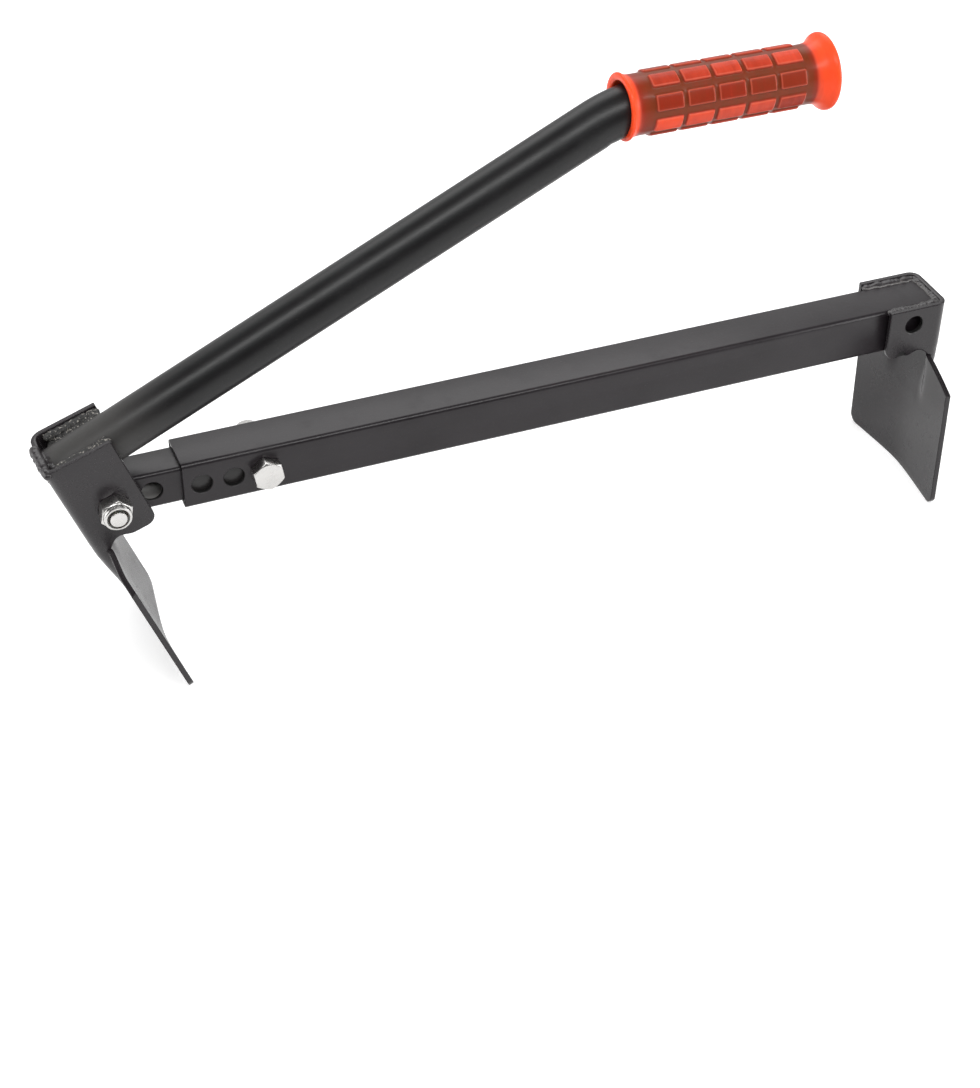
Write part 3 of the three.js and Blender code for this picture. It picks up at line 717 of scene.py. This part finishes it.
def add_fixed_jaw():
    jaw = thicken(jaw_sheet("fixed_jaw_pressing", FIXED_RISE, FIXED_DROP, FIXED_SET, FIXED_SPLAY))
    deep, shallow, outside = CHANNEL_HALF - PUNCH_DEPTH, CHANNEL_HALF - PUNCH_RIM_DEPTH, CHANNEL_HALF + 3
    flared = PUNCH_RADIUS + 0.5
    punch = turned("punch", [(0, deep), (PUNCH_RADIUS, shallow), (flared, outside), (0, outside)], steps=32)
    punch.data.transform(Matrix.Translation((PUNCH_X, 0, PUNCH_Z)))
    cut(jaw, drill(0, 0, HOLE / 2, wall_faces(CHANNEL_HALF, PLATE)), punch, crossing=True)
    mark_bore_shade(jaw, 0, 0, HOLE / 2)
    # Painted shade in the centre-punch mark
    mark(jaw, "bore", lambda co: deep - TOUCH < co.y < shallow + 3 * TOUCH
         and math.hypot(co.x - PUNCH_X, co.z - PUNCH_Z) < PUNCH_RADIUS + 2 * TOUCH)
    place(shade(jaw, JAW_SHARP), FIXED_END, JAW_PAINT, "arm", "jaw_paint", "fixed_jaw")


# Handle

# Weld smoke lies on the tube from its foot to this place, and thins out over this part of the way
DUST_END = 75
DUST_STEPS = 8
DUST_FADE = (0.3, 1)
BEND_STEPS = 44
# Wrinkles on the inside of the bend: place as a share of the bend's turn, and height
WRINKLES = ((-0.0527, -0.4), (0.0873, 0.6))
WRINKLE_WIDTH = 0.06
BORE_END = 124.3


def along_run(distance, up=0):
    """Point of the handle's straight run in the lifter's frame, by its distance from the pivot"""
    rake = math.radians(RAKE)
    return Vector((
        distance * math.cos(rake) - (HANDLE_OFFSET + up) * math.sin(rake),
        0,
        distance * math.sin(rake) + (HANDLE_OFFSET + up) * math.cos(rake),
    ))


def grip_turn():
    """Turn from a piece built along X to the grip's own line, with its start at the bend's corner"""
    turn = Matrix.Rotation(math.radians(HANDLE_BEND - RAKE), 4, "Y")
    return Matrix.Translation(along_run(HANDLE_RUN)) @ turn


def add_handle_tube():
    rake, bend = math.radians(RAKE), math.radians(HANDLE_BEND)
    tangent = BEND_RADIUS * math.tan(bend / 2)
    bm = bmesh.new()
    bmesh.ops.create_circle(bm, cap_ends=False, segments=64, radius=HANDLE / 2)
    to_run = Matrix.Rotation(math.pi / 2 - rake, 4, "Y")
    bmesh.ops.transform(bm, matrix=Matrix.Translation(along_run(HANDLE_FOOT)) @ to_run, verts=bm.verts)
    ring = list(bm.edges)

    def drawn(vec):
        """Draws the ring out to a new one"""
        made = bmesh.ops.extrude_edge_only(bm, edges=ring)["geom"]
        bmesh.ops.translate(bm, vec=vec, verts=[g for g in made if isinstance(g, bmesh.types.BMVert)])
        return [g for g in made if isinstance(g, bmesh.types.BMEdge)]

    foot, way = along_run(HANDLE_FOOT), along_run(DUST_END) - along_run(HANDLE_FOOT)
    for _ in range(DUST_STEPS):
        ring = drawn(way / DUST_STEPS)
    ring = drawn(along_run(HANDLE_RUN - tangent) - along_run(DUST_END))
    centre = along_run(HANDLE_RUN - tangent, -BEND_RADIUS)
    made = bmesh.ops.spin(bm, geom=ring, cent=centre, axis=(0, 1, 0), angle=bend, steps=BEND_STEPS)
    ring = [g for g in made["geom_last"] if isinstance(g, bmesh.types.BMEdge)]
    out = Vector((math.cos(rake - bend), 0, math.sin(rake - bend)))
    drawn(out * (BORE_END - TOUCH - GRIP_LEAD - tangent))
    bmesh.ops.remove_doubles(bm, verts=bm.verts, dist=1e-3)
    for vert in bm.verts:
        spoke = Vector((vert.co.x - centre.x, 0, vert.co.z - centre.z))
        share = (math.atan2(spoke.x, spoke.z) + rake) / bend
        inner = (BEND_RADIUS - spoke.length) / (HANDLE / 2)
        if inner > 0:
            rises = (size * math.exp(-((share - where) / WRINKLE_WIDTH) ** 2) for where, size in WRINKLES)
            vert.co += spoke.normalized() * sum(rises) * inner ** 2
    tube = solid_from("handle_tube_bent", bm)
    modify(tube, "SOLIDIFY", thickness=HANDLE_WALL, offset=-1)
    settle(tube)
    soften(tube, PLATE_EDGE, angle=60)
    dust = tube.data.attributes.new("dusted", "FLOAT", "POINT")
    for vert, value in zip(tube.data.vertices, dust.data):
        value.value = 1 - step((vert.co - foot).dot(way) / way.length_squared, *DUST_FADE)
    place(shade(tube), LIFTER, HANDLE_PAINT, "lifting_handle", "handle_paint", "handle_tube")


MOUTH = 41 / 2
MOUTH_ROLL = 1.2
BORE = 15.3
CAP = 47.5 / 2
CAP_ROLL = 2.2
SLEEVE = HANDLE / 2 + GRIP_WALL
PAD_START = 15.6
PAD_PITCH = 20.3
PAD_LENGTH = 18.2
PAD_COUNT = 5
PAD_ROWS = 8
PAD_SEGMENTS = 5
SEGMENTS = 56
FIRST_PAD = 21.5
# The three insets that raise a pad: width, rise, share of the pad's glow, and whether it is the pad's rim,
# which gets a painted highlight
PAD_STEPS = ((0.25, 0.55, 0.7, 0.0), (0.55, 0.8, 1.0, 1.0), (0.8, 0.1, 1.0, 0.0))
# Glow of each row of pads at its middle, the thick vinyl's brightness with painted light and shade for the
# way that row faces, and how much more from pad to pad; the spread is by chance
GLOW_SPREAD = 0.07
ROW_TONE_AND_PAINTED_LIGHT = ((0.55, 0.02), (0.30, -0.02), (0.66, -0.11), (0.5, 0.05), (0.4, -0.04), (0.5, 0.03), (0.45, 0.02),
            (0.42, 0.03))


def grip_profile():
    """Distance along the grip, radius and brightness of the vinyl, from the bore's end round to the cap"""
    profile = [
        (BORE_END, 0, 1), (BORE_END, BORE, 1), (10, BORE, 1), (1.6, BORE + 0.05, 1), (0.5, BORE + 0.6, 1),
        (0, BORE + 1.9, 1),
    ]
    for turn in (-75, -35, 0, 35, 70):
        angle = math.radians(turn)
        roll = MOUTH - MOUTH_ROLL + MOUTH_ROLL * math.cos(angle)
        profile.append((MOUTH_ROLL + MOUTH_ROLL * math.sin(angle), roll, 1))
    profile += [
        (2.9, MOUTH - 1.0, 1), (3.8, MOUTH - 1.6, 0.95), (4.8, SLEEVE + 0.5, 0.75), (6.2, SLEEVE + 0.2, 0.42),
        (8.5, SLEEVE, 0.22), (12.5, SLEEVE, 0.1),
    ]
    for index in range(PAD_COUNT):
        start = PAD_START + index * PAD_PITCH
        profile += [(start + PAD_LENGTH * share, SLEEVE, 0.05) for share in (0, 0.12, 0.37, 0.63, 0.88, 1)]
    profile += [
        (118.8, SLEEVE, 0.06), (121.8, SLEEVE, 0.3), (123.4, SLEEVE + 0.15, 0.8), (127.2, SLEEVE + 0.8, 1),
        (129.4, SLEEVE + 1.9, 1), (130.7, SLEEVE + 3.2, 1),
    ]
    for turn in (-70, -30, 10, 45, 80):
        angle = math.radians(turn)
        roll = CAP - CAP_ROLL + CAP_ROLL * math.cos(angle)
        profile.append((GRIP_LENGTH - 2.6 + 2.5 * math.sin(angle), roll, 1))
    profile += [
        (GRIP_LENGTH + 0.1, CAP - 4.5, 1), (GRIP_LENGTH + 1.2, CAP * 0.5, 1), (GRIP_LENGTH + 1.9, 3, 1),
        (GRIP_LENGTH + 2.0, 0, 1),
    ]
    return profile


def add_grip():
    """Sleeve with raised pads, whose brightness, with painted light by row and a painted highlight on each
    pad's rim, is kept on its points for the vinyl
    """
    bm = bmesh.new()
    body = bm.verts.layers.float.new("body")
    rim_highlight = bm.verts.layers.float.new("rim_highlight")
    points = []
    for distance, radius, thick in grip_profile():
        vert = bm.verts.new((distance, 0, radius))
        vert[body] = thick
        points.append(vert)
    edges = [bm.edges.new(pair) for pair in zip(points, points[1:])]
    segment = 360 / SEGMENTS
    first = FIRST_PAD - PAD_SEGMENTS / 2 * segment
    bmesh.ops.rotate(bm, cent=(0, 0, 0), matrix=Matrix.Rotation(math.radians(first), 3, "X"), verts=points)
    bmesh.ops.spin(bm, geom=points + edges, cent=(0, 0, 0), axis=(1, 0, 0), angle=2 * math.pi, steps=SEGMENTS,
                   use_merge=True)
    bmesh.ops.remove_doubles(bm, verts=bm.verts, dist=1e-3)
    bmesh.ops.recalc_face_normals(bm, faces=bm.faces)
    cells = {}
    for face in bm.faces:
        middle = face.calc_center_median()
        if math.hypot(middle.y, middle.z) < SLEEVE - 1:
            continue
        turn = math.degrees(math.atan2(-middle.y, middle.z))
        row, inside = divmod((turn - first) % 360, 360 / PAD_ROWS)
        column, offset = divmod(middle.x - PAD_START, PAD_PITCH)
        if inside < PAD_SEGMENTS * segment and 0 <= column < PAD_COUNT and offset < PAD_LENGTH:
            cells.setdefault((row, column), []).append(face)
    random_source = random.Random(7)
    for (row, column), faces in sorted(cells.items(), key=lambda cell: cell[0]):
        # Painted light and shade for the way this row of pads faces
        middle, along = ROW_TONE_AND_PAINTED_LIGHT[int(row)]
        glow = middle + along * (column - PAD_COUNT // 2) + random_source.uniform(-GLOW_SPREAD, GLOW_SPREAD)
        for inset, rise, share, on_rim in PAD_STEPS:
            bmesh.ops.inset_region(bm, faces=faces, thickness=inset, depth=rise, use_even_offset=True,
                                   use_boundary=True)
            for vert in {v for face in faces for v in face.verts}:
                vert[body] = glow * share
                vert[rim_highlight] = on_rim
    grip = solid_from("grip_sleeve", bm)
    modify(grip, "SUBSURF", levels=2, render_levels=2)
    settle(grip)
    matrix = LIFTER @ grip_turn() @ Matrix.Translation((-GRIP_LEAD, 0, 0))
    place(shade(grip, angle=60), matrix, VINYL, "lifting_handle", "grip", "handle_grip")


# Fasteners

HEX_CORNER = HEX_FLATS / 2 / math.cos(math.pi / 6)
HEAD = 7.5
NUT = 12
THREAD_DEPTH = 0.85
HEX_EDGE = 0.18
NUT_EDGE = 0.15
COLLAR = 8.6
NUT_BORE = 6.3
RING_SEAT = 7.45
# The cutters that round a hexagon's corners reach a hair past them
PAST_CORNER = HEX_CORNER + 0.02


def hexagon(height, spin):
    bm = bmesh.new()
    bmesh.ops.create_cone(bm, cap_ends=True, segments=6, radius1=HEX_CORNER, radius2=HEX_CORNER, depth=height)
    turn = Matrix.Rotation(math.radians(spin), 4, "Y") @ Matrix.Rotation(math.pi / 2, 4, "X")
    bmesh.ops.transform(bm, matrix=turn, verts=bm.verts)
    bmesh.ops.translate(bm, vec=(0, height / 2, 0), verts=bm.verts)
    return solid_from("hexagon", bm)


def hex_bolt(name, length, spin):
    """Bolt along Y: its head stands on the origin, its shank goes the other way"""
    radius, core = BOLT / 2, BOLT / 2 - THREAD_DEPTH
    head = hexagon(HEAD, spin)
    head.name = name
    crown = turned("crown", [
        (0, 0), (HEX_CORNER - 0.1, 0), (PAST_CORNER, 0.4), (PAST_CORNER, HEAD - 1.2),
        (HEX_FLATS / 2 - 0.1, HEAD - 0.1), (HEX_FLATS / 2 - 0.6, HEAD), (0, HEAD),
    ], steps=96)
    cut(head, crown, operation="INTERSECT")
    shank = turned("shank", [
        (0, 3), (radius, 3), (radius, 3.2 - length), (core, 2.6 - length), (core, 0.3 - length),
        (core - 0.25, -length), (0, -length),
    ], steps=48)
    cut(head, shank, operation="UNION")
    return soften(head, HEX_EDGE, angle=30)


def lock_nut(name, spin):
    """Self-locking nut with a round collar and the seat of its nylon ring"""
    nut = hexagon(NUT, spin)
    nut.name = name
    outside = turned("outside", [
        (0, 0), (HEX_CORNER - 1.1, 0), (PAST_CORNER, 1.1), (PAST_CORNER, 7.9), (COLLAR + 0.35, 8.75),
        (COLLAR, 9.1), (COLLAR, 10.7), (COLLAR - 0.3, 11.5), (COLLAR - 0.9, 11.95), (COLLAR - 1.4, NUT),
        (0, NUT),
    ], steps=96)
    cut(nut, outside, operation="INTERSECT")
    bore = turned("bore", [
        (0, -2), (NUT_BORE, -2), (NUT_BORE, 8.1), (RING_SEAT, 8.1), (RING_SEAT, 11), (6.9, 11.3),
        (6.7, NUT + 2), (0, NUT + 2),
    ])
    cut(nut, bore)
    return soften(nut, NUT_EDGE, angle=35)


def add_fasteners():
    arm_side, jaw_side = OUTER_TUBE / 2 + FIT, CHANNEL_HALF + FIT
    to_near = Matrix.Rotation(math.pi, 4, "X")
    lock_near = ARM @ Matrix.Translation((LOCK_X, -arm_side, 0)) @ to_near
    lock_far = ARM @ Matrix.Translation((LOCK_X, arm_side, 0))
    pivot_near = LIFTER @ Matrix.Translation((0, -jaw_side, 0)) @ to_near
    pivot_far = LIFTER @ Matrix.Translation((0, jaw_side, 0))
    for node, matrix, side, body, spin in (
        ("lock_bolt", lock_near, arm_side, "arm", 9),
        ("pivot_bolt", pivot_far, jaw_side, "lifting_handle", 0),
    ):
        bolt = hex_bolt(node + "_hex", 2 * side + NUT + 1, spin)
        place(shade(bolt, angle=30), matrix, ZINC, body, "zinc", node)
    for node, matrix, body, spin in (
        ("lock_nut", lock_far, "arm", 0),
        ("pivot_nut", pivot_near, "lifting_handle", 30),
    ):
        place(shade(lock_nut(node + "_hex", spin), angle=30), matrix, ZINC, body, "zinc", node)
    for node, material in (
        ("pivot_spacer_near", ZINC), ("pivot_spacer_far", ZINC), ("lock_nut_insert", NYLON),
        ("pivot_nut_insert", NYLON),
    ):
        frame["nodes"][node].data.materials.clear()
        frame["nodes"][node].data.materials.append(material)


# Welds

# Fineness of the fused skin, and its roughness: two noises, the second finer and fainter
VOXEL = 0.55
ROUGH_SCALE = 0.55
FINER = 2.3
FAINTER = 0.6
DROP_SIZES = (0.82, 1.15)


def fused(name, drops, grit, seed):
    """Weld metal: overlapping drops fused to one skin and roughened. Each drop is a place and three radii."""
    bm = bmesh.new()
    for centre, radii in drops:
        matrix = Matrix.Translation(centre) @ Matrix.Diagonal((*radii, 1))
        bmesh.ops.create_icosphere(bm, subdivisions=3, radius=1, matrix=matrix)
    metal = solid_from(name, bm)
    modify(metal, "REMESH", mode="VOXEL", voxel_size=VOXEL)
    modify(metal, "SMOOTH", factor=0.5, iterations=3)
    settle(metal)
    for vert in metal.data.vertices:
        sample = vert.co * ROUGH_SCALE + Vector((seed, 0, 0))
        rough = noise.noise(sample) + FAINTER * noise.noise(sample * FINER)
        vert.co += vert.normal * grit * rough
    metal.data.shade_smooth()
    return metal


def ripples(start, end, radii, count, seed, wander):
    """A row of drops from start to end, each a little out of line and out of size"""
    random_source = random.Random(seed)
    drops = []
    for index in range(count):
        share = index / (count - 1)
        shift = Vector([random_source.uniform(-wander, wander) for _ in range(3)])
        size = random_source.uniform(*DROP_SIZES)
        drops.append((start.lerp(end, share) + shift, [radius * size for radius in radii]))
    return drops


def tube_height(x):
    """Height of the handle's axis over a place along the moving jaw"""
    return (HANDLE_OFFSET + x * math.sin(math.radians(RAKE))) / math.cos(math.radians(RAKE))


# The two rows of a cheek's weld: distance from the middle, height over the tube's axis, radii of the drops
CHEEK_ROWS = ((16.2, 13.0, (3.2, 3.3, 2.4)), (12.6, 8.4, (3.2, 3.2, 2.8)))
CHEEK_WELD = (-15, 16)
UNDER_EDGE = 0.6
# The seam over the channel's back, with a thicker drop near each end, and the bead round the tube's foot
SEAM = (Vector((-24.4, 5.0, 42.5)), Vector((-22.9, -19.2, 40.9)))
SEAM_ENDS = ((Vector((-24.7, 3.0, 42.5)), (3.3, 4.8, 3.3)), (Vector((-23.0, -17.6, 40.8)), (2.9, 3.6, 3.6)))
SEAM_RADII = (3.0, 3.4, 3.0)
FOOT_X = -17.6
FOOT_RADIUS = 11.6
FOOT_RADII = (8.5, 3.6, 3.5)


def add_handle_welds():
    for name, side, seed in (("handle_weld_near", -1, 3), ("handle_weld_far", 1, 8)):
        drops = []
        for out, above, radii in CHEEK_ROWS:
            start, end = (Vector((x, side * out, 0)) for x in CHEEK_WELD)
            for centre, sizes in ripples(start, end, radii, count=17, seed=seed + out, wander=0.35):
                centre.z += min(tube_height(centre.x) + above, MOVING_RISE - sizes[2] - UNDER_EDGE)
                drops.append((centre, sizes))
        bead = fused(name + "_bead", drops, grit=0.45, seed=seed)
        place(bead, LIFTER, WELD_PAINT, "lifting_handle", "weld_paint", name)
    drops = ripples(*SEAM, SEAM_RADII, count=14, seed=5, wander=0.3)
    drops += SEAM_ENDS
    for turn in range(-70, 61, 10):
        angle = math.radians(turn)
        height = tube_height(FOOT_X) + FOOT_RADIUS * math.cos(angle)
        drops.append((Vector((FOOT_X, FOOT_RADIUS * math.sin(angle), height)), FOOT_RADII))
    bead = fused("handle_weld_end_bead", drops, grit=0.14, seed=21)
    place(bead, LIFTER, FLAT_WELD_PAINT, "lifting_handle", "weld_paint", "handle_weld_end")


# Painted highlight where the beads of the fixed jaw run out: how pale, how high over the tube, over what
# height, how far across
PALE = 0.45
PALE_HEIGHT = 0.25
PALE_FADE = (0.15, 0.6)
PALE_HALF = 17


def paint_rim_highlight(bead, top):
    """Paints a highlight on the thin edge where the bead runs out on the tube"""
    rim_highlight = bead.data.attributes.new("pale_painted_light", "FLOAT", "POINT")
    for vert, value in zip(bead.data.vertices, rim_highlight.data):
        away = step(abs(vert.co.z - top - PALE_HEIGHT), *PALE_FADE)
        value.value = PALE * (1 - away) * (abs(vert.co.y) < PALE_HALF)


# The beads of the fixed jaw along its cheeks and across its back: where they lie and radii of the drops
SIDE_START = (15.8, 17.0)
SIDE_END = (-18.5, 16.6)
SIDE_RADII = (3.4, 3.9, 2.4)
BACK_X = -CHANNEL_BACK + PLATE + 0.6
BACK_HALF = 15
BACK_RADII = (3.3, 4.2, 2.3)
SUNK = 1


def add_fixed_welds():
    top = OUTER_TUBE / 2 - FIXED_HOLE_RISE
    for name, side, seed in (("fixed_weld_near", 1, 12), ("fixed_weld_far", -1, 17)):
        start, end = (Vector((x, side * y, top - SUNK)) for x, y in (SIDE_START, SIDE_END))
        drops = ripples(start, end, SIDE_RADII, count=13, seed=seed, wander=0.3)
        bead = fused(name + "_bead", drops, grit=0.12, seed=seed)
        paint_rim_highlight(bead, top)
        place(bead, FIXED_END, FLAT_WELD_PAINT, "arm", "weld_paint", name)
    start, end = (Vector((BACK_X, y, top - SUNK)) for y in (-BACK_HALF, BACK_HALF))
    drops = ripples(start, end, BACK_RADII, count=11, seed=29, wander=0.25)
    bead = fused("fixed_weld_end_bead", drops, grit=0.15, seed=33)
    paint_rim_highlight(bead, top)
    place(bead, FIXED_END, FLAT_WELD_PAINT, "arm", "weld_paint", "fixed_weld_end")


SPATTER_COUNT = 70
SPATTER_SIZES = (0.25, 0.8)
SPATTER_ALONG = (-18, 16)
SPATTER_UP = (33, MOVING_RISE - 1)


def add_spatter():
    """Beads of spatter thrown on the inside of the moving jaw's far cheek"""
    random_source = random.Random(41)
    bm = bmesh.new()
    wall = CHANNEL_HALF - PLATE
    for _ in range(SPATTER_COUNT):
        x = random_source.uniform(*SPATTER_ALONG)
        z = random_source.uniform(*SPATTER_UP)
        size = random_source.uniform(*SPATTER_SIZES)
        matrix = Matrix.Translation((x, wall, z)) @ Matrix.Diagonal((size, size * 0.7, size, 1))
        bmesh.ops.create_icosphere(bm, subdivisions=2, radius=1, matrix=matrix)
    spatter = solid_from("weld_spatter", bm)
    spatter.data.shade_smooth()
    place(spatter, LIFTER, WELD_PAINT, "lifting_handle", "weld_paint")


# Studio

FLOOR_RADIUS = 6
FLOOR_SEEN = 0.4
FLOOR_MIRRORED = 0.16
LAMPS_AIM = Vector((0, 0, 0.12))
# Each softbox: its place, its width and height, and its power
SOFTBOXES = (
    ("strip_softbox", (-0.2, -0.95, 1.6), (2.4, 0.3), 22),
    ("back_softbox", (0.2, 1.3, 1.7), (2.2, 1.2), 18),
    ("left_softbox", (-1.7, 0.35, 0.6), (1.2, 1.0), 12),
    ("right_softbox", (1.6, -0.75, 0.65), (0.8, 0.8), 13),
)
# Grey of the mirrored studio, by the turn from the front horizon over the top to the back one
STUDIO_BANDS = (
    (0.0, 0.03), (0.22, 0.04), (0.30, 0.5), (0.38, 0.5), (0.46, 0.04), (0.60, 0.12), (0.72, 0.66), (1.0, 0.9),
)
# What rough surfaces gather: a dim horizon that brightens towards the top
SOFT_SKY = {"From Min": -0.1, "From Max": 1.0, "To Min": 0.35, "To Max": 0.75}


def add_camera():
    azimuth, elevation, roll = (math.radians(a) for a in (CAMERA_AZIMUTH, CAMERA_ELEVATION, CAMERA_ROLL))
    forward = Vector((
        math.sin(azimuth) * math.cos(elevation),
        math.cos(azimuth) * math.cos(elevation),
        -math.sin(elevation),
    ))
    right = Vector((math.cos(azimuth), -math.sin(azimuth), 0))
    up = right.cross(forward)
    turned_right = right * math.cos(roll) + up * math.sin(roll)
    turned_up = up * math.cos(roll) - right * math.sin(roll)
    data = bpy.data.cameras.new("camera")
    data.sensor_width = SENSOR
    data.lens = SENSOR * FOCAL_PIXELS / IMAGE_HEIGHT
    data.clip_end = CAMERA_REACH
    camera = bpy.data.objects.new("camera", data)
    turn = Matrix((turned_right, turned_up, -forward)).transposed()
    camera.matrix_world = Matrix.Translation(PIVOT + CAMERA_FROM_PIVOT) @ turn.to_4x4()
    bpy.context.scene.collection.objects.link(camera)
    bpy.context.scene.camera = camera


def add_floor():
    """Pale floor that takes shadows and shines white to the camera"""
    finish = Finish("studio_floor", base_color=(0.80, 0.80, 0.80, 1), roughness=0.9, specular_ior_level=0.0)
    seen, mirrored, through = finish.rays()
    strength = (seen + through) * FLOOR_SEEN + mirrored * FLOOR_MIRRORED
    glow = finish.node("ShaderNodeEmission", values={"Color": (1, 1, 1, 1), "Strength": strength})
    lit = Shade(finish.tree, finish.shader.outputs[0])
    both = finish.node("ShaderNodeAddShader", values={0: lit, 1: glow})
    finish.tree.links.new(both.socket, finish.tree.nodes["Material Output"].inputs["Surface"])
    bm = bmesh.new()
    bmesh.ops.create_circle(bm, cap_ends=True, segments=96, radius=FLOOR_RADIUS)
    floor = solid_from("floor", bm)
    floor.data.materials.append(finish.material)
    if floor.data.polygons[0].normal.z < 0:
        floor.data.flip_normals()


def add_softbox(name, place_at, size, power):
    data = bpy.data.lights.new(name, "AREA")
    data.shape = "RECTANGLE"
    data.size, data.size_y = size
    data.energy = power
    lamp = bpy.data.objects.new(name, data)
    aim = LAMPS_AIM - Vector(place_at)
    lamp.matrix_world = Matrix.Translation(place_at) @ aim.to_track_quat("-Z", "Y").to_matrix().to_4x4()
    bpy.context.scene.collection.objects.link(lamp)


def grey(value):
    return (value, value, value, 1)


def add_world():
    """White for the camera; for reflections a studio with a dark gap on each side of the strip light"""
    world = bpy.data.worlds.new("studio")
    world.use_nodes = True
    sky = Pattern(world.node_tree, "Generated")
    seen, mirrored, through = sky.rays()
    place_in = {"Vector": sky.place}
    along, up = (sky.node("ShaderNodeSeparateXYZ", values=place_in, output=axis) for axis in "YZ")
    turn = sky.node("ShaderNodeMath", {"operation": "ARCTAN2"}, {0: up, 1: along * -1.0}) * (1 / math.pi)
    stops = [(position, grey(value)) for position, value in STUDIO_BANDS]
    studio = sky.node("ShaderNodeValToRGB", {"stops": stops}, {"Fac": turn})
    soft = sky.node("ShaderNodeMapRange", values={"Value": up, **SOFT_SKY})
    colour = sky.blend(mirrored, soft, studio)
    colour = sky.blend(seen + through, colour, grey(1.0))
    join(sky.tree, colour, sky.tree.nodes["Background"].inputs["Color"])
    bpy.context.scene.world = world


add_camera()
add_outer_tube()
add_inner_tube()
add_moving_jaw()
add_fixed_jaw()
add_handle_tube()
add_grip()
add_fasteners()
add_handle_welds()
add_fixed_welds()
add_spatter()
add_floor()
for softbox in SOFTBOXES:
    add_softbox(*softbox)
add_world()
bpy.context.scene.view_settings.view_transform = "Standard"
